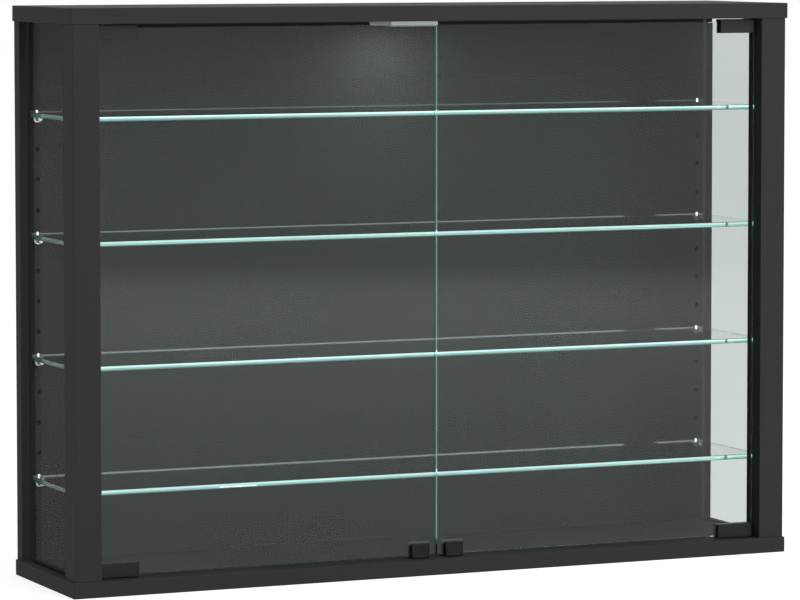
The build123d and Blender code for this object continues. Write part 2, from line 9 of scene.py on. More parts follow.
import bpy
import numpy as np
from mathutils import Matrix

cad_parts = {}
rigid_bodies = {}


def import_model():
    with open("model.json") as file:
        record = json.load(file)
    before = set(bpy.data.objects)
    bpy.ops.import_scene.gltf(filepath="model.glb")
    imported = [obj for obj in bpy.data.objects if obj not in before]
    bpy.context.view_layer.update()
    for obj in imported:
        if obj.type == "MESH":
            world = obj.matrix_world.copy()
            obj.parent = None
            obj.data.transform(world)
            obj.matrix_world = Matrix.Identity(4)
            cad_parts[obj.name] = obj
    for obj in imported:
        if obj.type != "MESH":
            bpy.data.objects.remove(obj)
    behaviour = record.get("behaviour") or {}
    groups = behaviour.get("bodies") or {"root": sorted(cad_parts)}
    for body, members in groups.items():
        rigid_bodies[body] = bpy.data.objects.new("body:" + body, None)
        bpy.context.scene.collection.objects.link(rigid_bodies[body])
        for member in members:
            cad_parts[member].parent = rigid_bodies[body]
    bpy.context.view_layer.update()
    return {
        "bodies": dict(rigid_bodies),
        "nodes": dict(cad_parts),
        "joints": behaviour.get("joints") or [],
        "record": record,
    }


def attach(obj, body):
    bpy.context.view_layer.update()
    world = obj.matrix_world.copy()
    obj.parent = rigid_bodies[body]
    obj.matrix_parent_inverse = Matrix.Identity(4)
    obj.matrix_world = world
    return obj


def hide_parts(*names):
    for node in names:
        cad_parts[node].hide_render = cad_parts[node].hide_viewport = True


LOG = logging.getLogger("display_cabinet")
MM = 0.001
SHELF_UNDERSIDE = 0.0976
SHELF_STEP = 0.1244
SHELF_THICKNESS = 0.005
CLIP_TOP = 0.0333
SMOOTH_ANGLE = math.radians(32)

Colour = tuple[float, float, float]
Rgba = tuple[float, float, float, float]
Point = tuple[float, float, float]


class Side(Enum):
    """The two doors, with the sign of X on which each hangs."""

    LEFT = -1
    RIGHT = 1

    @property
    def word(self) -> str:
        """The side's name as the nodes have it."""
        return self.name.lower()

    @property
    def body(self) -> str:
        """The body that moves with this side's door."""
        return f"door_{self.word}"


class Recess(Enum):
    """The shape that a screw's head is driven by, with its number of points."""

    CROSS = 4
    HEXAGON = 6

    def outline(self, angle: np.ndarray) -> np.ndarray:
        """Shape the recess: a hexagon's flat sides, or a cross of lobes that a cosine to a power draws in.

        Args:
            angle: The angles of a ring's points.

        Returns:
            The radius at each angle as a share of the recess's own.
        """
        if self is Recess.CROSS:
            drawn_in = (0.5 - 0.5 * np.cos(self.value * angle)) ** (1 / 2.6)
            return 1 - 0.42 * drawn_in
        sector = 2 * np.pi / self.value
        return np.cos(sector / 2) / np.cos(angle % sector - sector / 2)


def srgb(red: int, green: int, blue: int) -> Colour:
    """Turn a colour written as screen levels into scene values.

    Args:
        red: Level of red, 0 to 255.
        green: Level of green, 0 to 255.
        blue: Level of blue, 0 to 255.

    Returns:
        The same colour as three linear values.
    """
    levels = np.array([red, green, blue]) / 255
    linear = np.where(levels <= 0.04045, levels / 12.92, ((levels + 0.055) / 1.055) ** 2.4)
    return tuple(float(value) for value in linear)


def opaque(colour: Colour) -> Rgba:
    """Give a colour the fourth value that sockets want."""
    return (*colour, 1.0)


BLACK = opaque((0.0, 0.0, 0.0))
WHITE = opaque((1.0, 1.0, 1.0))


# Node trees


def emptied(owner: bpy.types.Material | bpy.types.World) -> bpy.types.NodeTree:
    """Turn on the nodes of a material or world and return its tree without any."""
    owner.use_nodes = True
    owner.node_tree.nodes.clear()
    return owner.node_tree


class Tree:
    """A node tree under construction, with short ways to add and join nodes."""

    def __init__(self, tree: bpy.types.NodeTree) -> None:
        """Keep the tree.

        Args:
            tree: The tree of a material, world or group.
        """
        self.tree = tree

    def add(self, kind: str, inputs: dict | None = None, **settings: object) -> bpy.types.Node:
        """Add a node.

        Args:
            kind: The node's class name without the leading ShaderNode.
            inputs: Values or output sockets for its inputs, by name or number.
            settings: Plain properties of the node.

        Returns:
            The new node.
        """
        node = self.tree.nodes.new(kind if kind.startswith("Node") else "ShaderNode" + kind)
        for key, value in settings.items():
            setattr(node, key, value)
        self.feed(node, inputs or {})
        return node

    def feed(self, node: bpy.types.Node, inputs: dict) -> None:
        """Join outputs to a node's inputs, or set the inputs' values.

        Args:
            node: The node.
            inputs: Values or output sockets for its inputs, by name or number.
        """
        for key, value in inputs.items():
            if isinstance(value, bpy.types.NodeSocket):
                self.tree.links.new(value, node.inputs[key])
            else:
                node.inputs[key].default_value = value

    def math(self, operation: str, *values: object, clamp: bool = False) -> bpy.types.NodeSocket:
        """Add a Math node.

        Args:
            operation: Its operation.
            values: What goes into its inputs, in order.
            clamp: Whether the result is held between 0 and 1.

        Returns:
            Its output.
        """
        return self.add("Math", dict(enumerate(values)), operation=operation, use_clamp=clamp).outputs[0]

    def product(self, first: object, *others: object) -> bpy.types.NodeSocket:
        """Multiply values together.

        Args:
            first: The first value.
            others: The values that it is multiplied by.

        Returns:
            The product.
        """
        for value in others:
            first = self.math("MULTIPLY", first, value)
        return first

    def spread(self, value: bpy.types.NodeSocket, width: float, middle: float) -> bpy.types.NodeSocket:
        """Spread a value between 0 and 1 over a width round a middle: value width + middle - width / 2.

        Args:
            value: The value.
            width: How wide it is spread.
            middle: What 0.5 becomes.

        Returns:
            The spread value.
        """
        return self.math("MULTIPLY_ADD", value, width, middle - width / 2)

    def ramp(self, value: bpy.types.NodeSocket, low: float, high: float,
             to_low: float = 0.0, to_high: float = 1.0) -> bpy.types.NodeSocket:
        """Map a range of values smoothly on another and hold it there.

        Args:
            value: The value to map.
            low: Where the range starts.
            high: Where it ends.
            to_low: What the start becomes.
            to_high: What the end becomes.

        Returns:
            The mapped value.
        """
        return self.add("MapRange", {0: value, 1: low, 2: high, 3: to_low, 4: to_high},
                        interpolation_type="SMOOTHSTEP").outputs[0]

    def blend(self, factor: object, first: object, second: object, mode: str = "MIX") -> bpy.types.NodeSocket:
        """Mix two colours.

        Args:
            factor: The share of the second.
            first: The colour at 0.
            second: The colour at 1.
            mode: How they are mixed.

        Returns:
            The mixed colour.
        """
        return self.add("Mix", {0: factor, 6: first, 7: second}, data_type="RGBA", blend_type=mode).outputs[2]

    def scaled(self, vector: object, share: object) -> bpy.types.NodeSocket:
        """Multiply a colour or another vector by a number.

        Args:
            vector: The three values.
            share: The number.

        Returns:
            The scaled vector.
        """
        return self.add("VectorMath", {0: vector, "Scale": share}, operation="SCALE").outputs[0]

    def place(self) -> bpy.types.NodeSocket:
        """Return the point's place on its piece."""
        return self.add("TexCoord").outputs["Object"]

    def noise(self, **inputs: object) -> bpy.types.NodeSocket:
        """Add noise over the piece.

        Args:
            inputs: Inputs of the noise's node.

        Returns:
            The noise, between 0 and 1 and mostly near 0.5.
        """
        return self.add("TexNoise", {"Vector": self.place(), **inputs}).outputs[0]


GroupStart = tuple[Tree, bpy.types.Node, bpy.types.Node]


class Effects:
    """The surface effects that the finishes share, each built once as a node group."""

    def __init__(self) -> None:
        """Build every group."""
        self.groups = {"grain": self._grain(), "edges": self._edges(), "dust": self._dust(),
                       "lines": self._lines(), "marks": self._marks(), "ways": self._ways()}

    @staticmethod
    def _new(name: str, inputs: dict[str, float], outputs: dict[str, str]) -> GroupStart:
        """Start a group.

        Args:
            name: The group's name.
            inputs: Names and defaults of its inputs, all plain numbers.
            outputs: Names and kinds of its outputs, Float or Vector.

        Returns:
            Its tree, and its input and output nodes.
        """
        group = bpy.data.node_groups.new(name, "ShaderNodeTree")
        for key, value in inputs.items():
            socket = group.interface.new_socket(key, in_out="INPUT", socket_type="NodeSocketFloat")
            socket.default_value = value
        for key, kind in outputs.items():
            group.interface.new_socket(key, in_out="OUTPUT", socket_type="NodeSocket" + kind)
        tree = Tree(group)
        return tree, tree.add("NodeGroupInput"), tree.add("NodeGroupOutput")

    @staticmethod
    def _shade(tree: Tree, height: bpy.types.NodeSocket, given: bpy.types.Node) -> bpy.types.NodeSocket:
        """Turn noise into a shade round 1: 1 plus the Amount times four times the noise's rise over 0.5.

        Args:
            tree: The group's tree.
            height: The noise.
            given: The group's input node.

        Returns:
            The shade.
        """
        rise = tree.product(tree.math("SUBTRACT", height, 0.5), 4.0)
        return tree.math("MULTIPLY_ADD", rise, given.outputs["Amount"], 1.0)

    def _grain(self) -> bpy.types.NodeTree:
        """Fine speckle of a printed or moulded surface: two noises, one seven times finer.

        Returns:
            The group, whose Shade lies round 1 and whose Height lies between 0 and 1.
        """
        tree, given, out = self._new("fine_grain", {"Scale": 600.0, "Amount": 0.08},
                                     {"Shade": "Float", "Height": "Float"})
        scale = given.outputs["Scale"]
        coarse = tree.noise(Scale=scale, Detail=3.0)
        fine = tree.noise(Scale=tree.product(scale, 7.0), Detail=1.0)
        height = tree.math("MULTIPLY_ADD", fine, 0.4, tree.product(coarse, 0.6))
        tree.feed(out, {"Shade": self._shade(tree, height, given), "Height": height})
        return tree.tree

    def _edges(self) -> bpy.types.NodeTree:
        """Edges for rubbing and a painted highlight: how far the rounded normal turns from the face's own,
        broken up by noise.

        Returns:
            The group, whose Mask is 1 along edges that rubbing and a painted highlight lighten, and whose
            Normal rounds them.
        """
        tree, given, out = self._new("rubbed_edges", {"Radius": 0.001, "Breakup": 0.5},
                                     {"Mask": "Float", "Normal": "Vector"})
        rounded = tree.add("Bevel", {"Radius": given.outputs["Radius"]}, samples=4).outputs[0]
        own = tree.add("NewGeometry").outputs["True Normal"]
        alike = tree.add("VectorMath", {0: rounded, 1: own}, operation="DOT_PRODUCT").outputs["Value"]
        patchy = tree.ramp(tree.noise(Scale=60.0, Detail=4.0), 0.35, 0.62)
        lost = tree.product(tree.math("SUBTRACT", 1.0, patchy), given.outputs["Breakup"])
        kept = tree.math("SUBTRACT", 1.0, lost)
        tree.feed(out, {"Mask": tree.math("MULTIPLY", tree.ramp(alike, 0.995, 0.8), kept, clamp=True),
                        "Normal": rounded})
        return tree.tree

    def _dust(self) -> bpy.types.NodeTree:
        """Settled dust: faces that look up, patchy at two scales.

        Returns:
            The group, whose Mask is 1 where dust lies.
        """
        tree, given, out = self._new("settled_dust", {"Amount": 0.2}, {"Mask": "Float"})
        normal = tree.add("SeparateXYZ", {0: tree.add("NewGeometry").outputs["Normal"]})
        up = tree.ramp(normal.outputs["Z"], 0.5, 0.95)
        patches = tree.ramp(tree.noise(Scale=9.0, Detail=5.0), 0.35, 0.75)
        grains = tree.ramp(tree.noise(Scale=900.0, Detail=1.0), 0.45, 0.65)
        lying = tree.product(patches, grains, up)
        tree.feed(out, {"Mask": tree.math("MULTIPLY", lying, given.outputs["Amount"], clamp=True)})
        return tree.tree

    def _lines(self) -> bpy.types.NodeTree:
        """Fine parallel lines of brushing or drawing: noise stretched along one axis of the piece.

        Returns:
            The group, whose Shade lies round 1 and whose Height lies between 0 and 1.
        """
        tree, given, out = self._new("drawn_lines", {"Along X": 20.0, "Along Y": 2500.0, "Along Z": 2500.0,
                                                     "Amount": 0.1}, {"Shade": "Float", "Height": "Float"})
        scale = tree.add("CombineXYZ", dict(enumerate(given.outputs[f"Along {axis}"] for axis in "XYZ")))
        stretched = tree.add("VectorMath", {0: tree.place(), 1: scale.outputs[0]}, operation="MULTIPLY")
        noise = tree.add("TexNoise", {"Vector": stretched.outputs[0], "Scale": 1.0, "Detail": 3.0})
        height = noise.outputs[0]
        tree.feed(out, {"Shade": self._shade(tree, height, given), "Height": height})
        return tree.tree

    def _marks(self) -> bpy.types.NodeTree:
        """Wipe marks and cleaning haze: broad warped noise.

        Returns:
            The group, whose Mask is 0 where the surface is clean.
        """
        tree, given, out = self._new("wipe_marks", {"Scale": 6.0, "Amount": 0.5}, {"Mask": "Float"})
        noise = tree.noise(Scale=given.outputs["Scale"], Detail=6.0, Distortion=0.8)
        tree.feed(out, {"Mask": tree.product(tree.ramp(noise, 0.4, 0.8), given.outputs["Amount"])})
        return tree.tree

    def _ways(self) -> bpy.types.NodeTree:
        """Which way a face of the piece looks, from its own normal: one mask for each way.

        Returns:
            The group, whose masks are 1 on faces square to that way and 0 from 25 degrees off.
        """
        tree, _, out = self._new("face_ways", {}, {"Front": "Float", "Rear": "Float", "Ends": "Float",
                                                   "Flats": "Float", "Rim": "Float"})
        parts = tree.add("SeparateXYZ", {0: tree.add("NewGeometry").outputs["True Normal"]})
        x, y, z = parts.outputs
        slant = tree.product(tree.math("ADD", y, z), math.sqrt(0.5))
        towards = {"Front": tree.product(y, -1.0), "Rear": y, "Ends": tree.math("ABSOLUTE", x),
                   "Flats": tree.math("ABSOLUTE", z), "Rim": tree.math("ABSOLUTE", slant)}
        tree.feed(out, {way: tree.ramp(value, 0.9, 0.98) for way, value in towards.items()})
        return tree.tree


class Surface(Tree):
    """A material's tree, with its Principled shader, the shared effects and the point's place at hand."""

    def __init__(self, made: bpy.types.Material, effects: Effects) -> None:
        """Start with a bare shader.

        Args:
            made: The material.
            effects: The shared node groups.
        """
        super().__init__(emptied(made))
        self.effects = effects
        self.shader = self.add("BsdfPrincipled")
        self.out = self.shader.outputs[0]

    @cached_property
    def axes(self) -> bpy.types.bpy_prop_collection:
        """The point's X, Y and Z on its piece."""
        return self.add("SeparateXYZ", {0: self.place()}).outputs

    @cached_property
    def ways(self) -> bpy.types.bpy_prop_collection:
        """The masks of the ways that a face can look."""
        return self.effect("ways")

    def effect(self, name: str, **inputs: object) -> bpy.types.bpy_prop_collection:
        """Place a shared effect.

        Args:
            name: Its name.
            inputs: Its inputs, with underscores for spaces in their names.

        Returns:
            Its outputs.
        """
        given = {key.replace("_", " "): value for key, value in inputs.items()}
        return self.add("Group", given, node_tree=self.effects.groups[name]).outputs

    def paint(self, inputs: dict) -> None:
        """Feed the shader's inputs."""
        self.feed(self.shader, inputs)

    def painted(self, name: str) -> bpy.types.NodeSocket:
        """Return what feeds one of the shader's inputs."""
        return self.shader.inputs[name].links[0].from_socket

    def bump(self, height: bpy.types.NodeSocket, strength: float, distance: float, **inputs: object) -> None:
        """Give the surface a relief.

        Args:
            height: The relief's height.
            strength: How much of it shows.
            distance: How high it stands, in metres.
            inputs: The normal that it stands on, where that isn't the face's own.
        """
        bump = self.add("Bump", {"Height": height, "Strength": strength, "Distance": distance, **inputs})
        self.paint({"Normal": bump.outputs[0]})


# Finishes


@dataclass(frozen=True)
class Finish:
    """A surface finish: a name and the way its material is made."""

    name: str

    def material(self, effects: Effects) -> bpy.types.Material:
        """Make the finish's material, which may glow but isn't sampled as a lamp.

        Args:
            effects: The shared node groups.

        Returns:
            The material.
        """
        made = bpy.data.materials.new(self.name)
        surface = Surface(made, effects)
        self.dress(surface)
        surface.add("OutputMaterial", {"Surface": surface.out})
        made.cycles.emission_sampling = "NONE"
        return made

    def dress(self, surface: Surface) -> None:
        """Feed the surface's shader; each finish has its own way."""
        raise NotImplementedError


@dataclass(frozen=True)
class Moulding(Finish):
    """A cast, moulded or coated surface with a fine pimpled texture."""

    colour: Colour = (0.012, 0.012, 0.013)
    worn: Colour = (0.06, 0.06, 0.062)
    dusty: Colour = (0.3, 0.3, 0.29)
    dust: float = 0.1
    roughness: float = 0.42
    rough_spread: float = 0.14
    grain: float = 1300.0
    mottle: float = 0.1
    relief: float = 0.2
    relief_height: float = 0.00008
    wear: float = 0.35
    wear_radius: float = 0.0006
    wear_breakup: float = 0.5
    specular: float = 0.15

    def dress(self, surface: Surface) -> None:
        """Grain in colour, bump and roughness, paler edges from rubbing and a painted highlight, dust on top.

        Args:
            surface: The surface to finish.
        """
        grain = surface.effect("grain", Scale=self.grain, Amount=self.mottle)
        edges = surface.effect("edges", Radius=self.wear_radius, Breakup=self.wear_breakup)
        dust = surface.effect("dust", Amount=self.dust)
        # Paler edges: partly rubbing, partly a painted highlight along each edge.
        rubbed_and_sheen = surface.blend(surface.product(edges["Mask"], self.wear),
                               surface.scaled(self.colour, grain["Shade"]), opaque(self.worn))
        surface.paint({"Base Color": surface.blend(dust["Mask"], rubbed_and_sheen, opaque(self.dusty)),
                       "Roughness": surface.spread(grain["Height"], self.rough_spread, self.roughness),
                       "Specular IOR Level": self.specular})
        surface.bump(grain["Height"], self.relief, self.relief_height, Normal=edges["Normal"])


@dataclass(frozen=True)
class Melamine(Moulding):
    """Matt printed melamine on board, with wipe marks, and painted shade on the faces at the cabinet's outer
    ends.
    """

    colour: Colour = srgb(54, 54, 54)
    worn: Colour = srgb(92, 92, 92)
    dusty: Colour = srgb(150, 150, 148)
    dust: float = 0.16
    roughness: float = 0.62
    rough_spread: float = 0.12
    mark_roughness: float = 0.1
    grain: float = 420.0
    mottle: float = 0.07
    relief: float = 0.14
    relief_height: float = 0.00012
    wear: float = 0.55
    wear_radius: float = 0.0011
    wear_breakup: float = 0.55
    specular: float = 0.08
    # Painted shade: faces looking out past this X are darkened to this share.
    outer_from: float = 0.395
    outer_share: float = 0.7

    def dress(self, surface: Surface) -> None:
        """Lay marks over the plain finish, and paint shade on what looks outwards beyond the ends' place.

        Args:
            surface: The surface to finish.
        """
        super().dress(surface)
        marks = surface.effect("marks", Scale=5.0, Amount=0.35)
        # Painted shade on the faces that look outwards at the cabinet's ends.
        in_end_shade = surface.math("GREATER_THAN", surface.math("ABSOLUTE", surface.axes["X"]), self.outer_from)
        surface.paint({"Base Color": surface.blend(surface.product(surface.ways["Ends"], in_end_shade),
                                                   surface.painted("Base Color"),
                                                   opaque((self.outer_share,) * 3), "MULTIPLY"),
                       "Roughness": surface.math("MULTIPLY_ADD", marks["Mask"], self.mark_roughness,
                                                 surface.painted("Roughness"))})


@dataclass(frozen=True)
class ShelfWall(Melamine):
    """The back wall's melamine, with painted light: a glowing strip above each shelf's rear edge and a glint
    at each peg.
    """

    # Painted light: the colour and place of a glowing strip above each shelf, and of a glint at each peg.
    line: Colour = (0.20, 0.21, 0.205)
    line_height: float = 0.0006
    reach: float = 0.3855
    broken: tuple[float, float] = (0.290, 0.3275)
    dim_above: float = 0.45
    dim_over: float = 0.01
    dim_share: float = 0.5
    glint_x: float = 0.3785
    glint_rise: float = 0.0009
    glint_radius: float = 0.0018
    glint_colour: Colour = (3.0, 3.0, 3.0)

    def dress(self, surface: Surface) -> None:
        """The boards' finish, with a painted glowing strip above each shelf and a painted glint at each peg.

        Args:
            surface: The surface to finish.
        """
        super().dress(surface)
        above = surface.math("SUBTRACT", surface.axes["Z"], SHELF_UNDERSIDE + SHELF_THICKNESS)
        over_shelf = surface.math("MODULO", above, SHELF_STEP)
        on_wall = surface.product(surface.math("GREATER_THAN", above, 0.0), surface.ways["Front"])
        # Painted light: a glowing strip and peg glints on the wall, as emission.
        lines = surface.blend(surface.product(on_wall, self.line_mask(surface, over_shelf)), BLACK,
                              opaque(self.line))
        glint = surface.product(on_wall, self.glint_mask(surface, over_shelf))
        surface.paint({"Emission Color": surface.blend(glint, lines, opaque(self.glint_colour)),
                       "Emission Strength": 1.0})

    def line_mask(self, surface: Surface, over_shelf: bpy.types.NodeSocket) -> bpy.types.NodeSocket:
        """Mark the painted glowing strip: where height over the shelf is under its own, within its reach and
        outside its break.

        Args:
            surface: The surface to finish.
            over_shelf: Height over the shelf below.

        Returns:
            The mask, weaker above a given height.
        """
        across = surface.axes["X"]
        start, end = self.broken
        gap = surface.product(surface.math("GREATER_THAN", across, start),
                              surface.math("LESS_THAN", across, end))
        return surface.product(surface.math("SUBTRACT", 1.0, gap),
                               surface.math("LESS_THAN", over_shelf, self.line_height),
                               surface.math("LESS_THAN", surface.math("ABSOLUTE", across), self.reach),
                               surface.ramp(surface.axes["Z"], self.dim_above, self.dim_above + self.dim_over,
                                            1.0, self.dim_share))

    def glint_mask(self, surface: Surface, over_shelf: bpy.types.NodeSocket) -> bpy.types.NodeSocket:
        """Fade a painted glint from 1 at a peg to 0 at its radius, by the root of the squares of both
        distances.

        Args:
            surface: The surface to finish.
            over_shelf: Height over the shelf below.

        Returns:
            The mask.
        """
        aside = surface.math("SUBTRACT", surface.math("ABSOLUTE", surface.axes["X"]), self.glint_x)
        up = surface.math("SUBTRACT", over_shelf, self.glint_rise)
        squares = surface.math("ADD", surface.product(aside, aside), surface.product(up, up))
        return surface.ramp(surface.math("POWER", squares, 0.5), 0.0, self.glint_radius, 1.0, 0.0)


@dataclass(frozen=True)
class FloatGlass(Finish):
    """Clear float glass with painted light: a green glow painted on its polished edges, faces and groove."""

    tint: Colour = (0.778, 0.88, 0.855)
    hazed: float = 0.985
    # Painted glow on faces by the way they look; the glass is no lamp.
    front_glow: Colour = (0.0, 0.0, 0.0)
    rear_glow: Colour = (0.0, 0.0, 0.0)
    end_glow: Colour = (0.0, 0.0, 0.0)
    flat_glow: Colour = (0.0, 0.0, 0.0)
    rim_glow: Colour = (0.0, 0.0, 0.0)
    ends_lit_from: float = -1.0
    ends_lit_over: float = 0.003
    ends_lit_within: float = 1.0
    end_tint: Colour = (1.0, 1.0, 1.0)
    inner_share: float = 0.0
    # Painted light on the part of a side pane that sits in its rear groove.
    groove_from: float = 1.0
    groove_over: float = 0.0005
    groove_glow: tuple[float, float] = (0.0, 0.0)
    groove_green: float = 1.1
    banded: bool = False
    # A spot at this X where the painted edge glow drops to a share: a painted dark spot.
    fleck_x: float = 0.3455
    fleck_edge: tuple[float, float] = (0.001, 0.002)
    fleck_share: float = 0.15
    ior: float = 1.3

    def dress(self, surface: Surface) -> None:
        """Painted light in the edges and grooves, wipe marks in the tint, and a way through for lamps.

        Args:
            surface: The surface to finish.
        """
        marks = surface.effect("marks", Scale=14.0, Amount=1.0)
        # Painted light: the edge glow plus the rim glow.
        rim = surface.blend(surface.ways["Rim"], BLACK, opaque(self.rim_glow))
        painted_edge_and_rim = surface.blend(1.0, self.edge_light(surface), rim, "ADD")
        clear = surface.blend(marks["Mask"], opaque(self.tint),
                              opaque(tuple(value * self.hazed for value in self.tint)))
        tinted = surface.blend(surface.ways["Ends"], clear, opaque(self.end_tint), "MULTIPLY")
        surface.paint({"Emission Color": surface.blend(1.0, painted_edge_and_rim, self.groove_light(surface), "ADD"),
                       "Emission Strength": 1.0, "Base Color": tinted, "Transmission Weight": 1.0,
                       "Roughness": 0.0, "IOR": self.ior})
        self.pass_light(surface)

    def edge_light(self, surface: Surface) -> bpy.types.NodeSocket:
        """Painted glow in each face's own colour, livened by grain and weaker when seen from inside the
        glass.

        Args:
            surface: The surface to finish.

        Returns:
            The painted glow's colour.
        """
        ways, across, height = surface.ways, surface.axes["X"], surface.axes["Z"]
        near = surface.math("LESS_THAN", surface.math("ABSOLUTE", across), self.ends_lit_within)
        high = surface.ramp(height, self.ends_lit_from, self.ends_lit_from + self.ends_lit_over)
        glow = BLACK
        for mask, colour in ((ways["Front"], self.front_glow), (ways["Rear"], self.rear_glow),
                             (surface.product(ways["Ends"], near, high), self.end_glow),
                             (ways["Flats"], self.flat_glow)):
            glow = surface.blend(mask, glow, opaque(colour))
        grain = surface.effect("grain", Scale=45.0, Amount=0.12)
        inside = surface.add("NewGeometry").outputs["Backfacing"]
        strength = surface.product(grain["Shade"],
                                   surface.math("MULTIPLY_ADD", inside, self.inner_share - 1.0, 1.0))
        # Painted light and shade in bands across a shelf's edge, with a painted dark spot.
        if self.banded:
            aside = surface.math("ABSOLUTE", surface.math("SUBTRACT", across, self.fleck_x))
            unlit_spot = surface.ramp(aside, *self.fleck_edge, self.fleck_share, 1.0)
            strength = surface.product(strength, self.bands(surface, height), unlit_spot)
        return surface.scaled(glow, strength)

    def groove_light(self, surface: Surface) -> bpy.types.NodeSocket:
        """Paint light on the part of a pane that sits in its rear groove, from the left pane's share to the
        right's.

        Args:
            surface: The surface to finish.

        Returns:
            The painted light's colour, a little greener than grey.
        """
        sunk = surface.product(
            surface.ramp(surface.axes["Y"], self.groove_from, self.groove_from + self.groove_over),
            surface.ramp(surface.axes["X"], -0.1, 0.1, *self.groove_glow))
        green = surface.product(sunk, self.groove_green)
        return surface.add("CombineXYZ", {0: sunk, 1: green, 2: sunk}).outputs[0]

    @staticmethod
    def bands(surface: Surface, height: bpy.types.NodeSocket) -> bpy.types.NodeSocket:
        """Paint light and shade over a shelf's edge across its thickness: dark rims, a bright upper half, a
        duller lower half.

        Args:
            surface: The surface to finish.
            height: The height of a point on the piece.

        Returns:
            The brightness, from the point's share of the thickness above the shelf's underside.
        """
        above = surface.math("SUBTRACT", height, SHELF_UNDERSIDE)
        share = surface.math("DIVIDE", surface.math("MODULO", above, SHELF_STEP), SHELF_THICKNESS)
        return surface.product(surface.ramp(share, 0.08, 0.24), surface.ramp(share, 0.97, 0.86),
                               surface.ramp(share, 0.38, 0.6, 0.5, 1.0))

    def pass_light(self, surface: Surface) -> None:
        """Let shadow and diffuse rays straight through, so that lamps reach what is behind.

        Each of a pane's two faces takes the square root of the tint, so that both together take the tint.

        Args:
            surface: The surface to finish.
        """
        path = surface.add("LightPath")
        face_tint = opaque(tuple(value ** 0.5 for value in self.tint))
        through = surface.add("BsdfTransparent", {"Color": face_tint})
        for ray in ("Is Diffuse Ray", "Is Shadow Ray"):
            mixed = surface.add("MixShader", {0: path.outputs[ray], 1: surface.out, 2: through.outputs[0]})
            surface.out = mixed.outputs[0]


@dataclass(frozen=True)
class Metal(Finish):
    """A plated, drawn or polished metal."""

    colour: Colour = (0.62, 0.62, 0.63)
    lighter: float = 1.35
    roughness: float = 0.25
    rough_spread: float = 0.12
    smoother: float = 0.05
    line_amount: float = 0.08
    line_scale: Point = (30.0, 2200.0, 2200.0)
    wear: float = 0.3
    metallic: float = 1.0
    # A painted glow: emission on a part that is no lamp.
    glow: Colour = (0.0, 0.0, 0.0)

    def dress(self, surface: Surface) -> None:
        """Drawn lines, brighter edges and uneven polish, and a painted glow that stands in for light from a
        lamp close by.

        Args:
            surface: The surface to finish.
        """
        along, across, upright = self.line_scale
        lines = surface.effect("lines", Along_X=along, Along_Y=across, Along_Z=upright,
                               Amount=self.line_amount)
        edges = surface.effect("edges", Radius=0.0005, Breakup=0.4)
        marks = surface.effect("marks", Scale=30.0, Amount=0.6)
        lighter = opaque(tuple(min(1.0, value * self.lighter) for value in self.colour))
        rough = surface.math("MULTIPLY_ADD", lines["Height"], self.rough_spread,
                             self.roughness - self.smoother)
        # The emission below is a painted glow.
        surface.paint({"Base Color": surface.blend(surface.product(edges["Mask"], self.wear),
                                                   surface.scaled(self.colour, lines["Shade"]), lighter),
                       "Roughness": surface.math("MULTIPLY_ADD", marks["Mask"], self.rough_spread, rough),
                       "Metallic": self.metallic, "Emission Color": opaque(self.glow),
                       "Emission Strength": 1.0})
        surface.bump(lines["Height"], 0.1, 0.00005, Normal=edges["Normal"])


@dataclass(frozen=True)
class Opal(Finish):
    """A lit opal sheet or lamp chip: pale plastic with a soft glow, strongest over the lamps."""

    colour: Colour = (0.86, 0.88, 0.88)
    glow: Colour = (1.0, 0.97, 0.92)
    strength: float = 6.0
    pitch: float = 0.010
    middle: float = 0.009
    even: float = 0.72
    swell: float = 0.14
    roughness: float = 0.4
    rough_spread: float = 0.1

    def dress(self, surface: Surface) -> None:
        """A glow that swells over each lamp, from waves along X and Y, under a fine grain.

        Args:
            surface: The surface to finish.
        """
        grain = surface.effect("grain", Scale=900.0, Amount=0.05)
        turn = 2 * math.pi / self.pitch
        places = (surface.axes["X"], surface.math("SUBTRACT", surface.axes["Y"], self.middle))
        waves = [surface.math("COSINE", surface.product(place, turn)) for place in places]
        swell = surface.math("MULTIPLY_ADD", surface.math("ADD", *waves), self.swell, self.even)
        surface.paint({"Base Color": surface.scaled(self.colour, grain["Shade"]),
                       "Emission Color": surface.scaled(self.glow, swell), "Emission Strength": self.strength,
                       "Roughness": surface.spread(grain["Height"], self.rough_spread, self.roughness)})


@dataclass(frozen=True)
class Beech(Finish):
    """Turned beech with growth rings across the dowel and fine pores along it."""

    pale: Colour = srgb(214, 184, 146)
    dark: Colour = srgb(176, 138, 98)
    roughness: float = 0.6
    rough_spread: float = 0.2

    def dress(self, surface: Surface) -> None:
        """Rings from a wave bent by noise, pores from stretched lines.

        Args:
            surface: The surface to finish.
        """
        rings = surface.add("TexWave", {"Vector": surface.place(), "Scale": 130.0, "Distortion": 3.0,
                                        "Detail": 2.0})
        pores = surface.effect("lines", Along_X=2600.0, Along_Y=2600.0, Along_Z=90.0, Amount=0.12)
        ringed = surface.blend(rings.outputs["Fac"], opaque(self.pale), opaque(self.dark))
        surface.paint({"Base Color": surface.scaled(ringed, pores["Shade"]),
                       "Roughness": surface.spread(pores["Height"], self.rough_spread, self.roughness)})
        surface.bump(pores["Height"], 0.3, 0.0001)


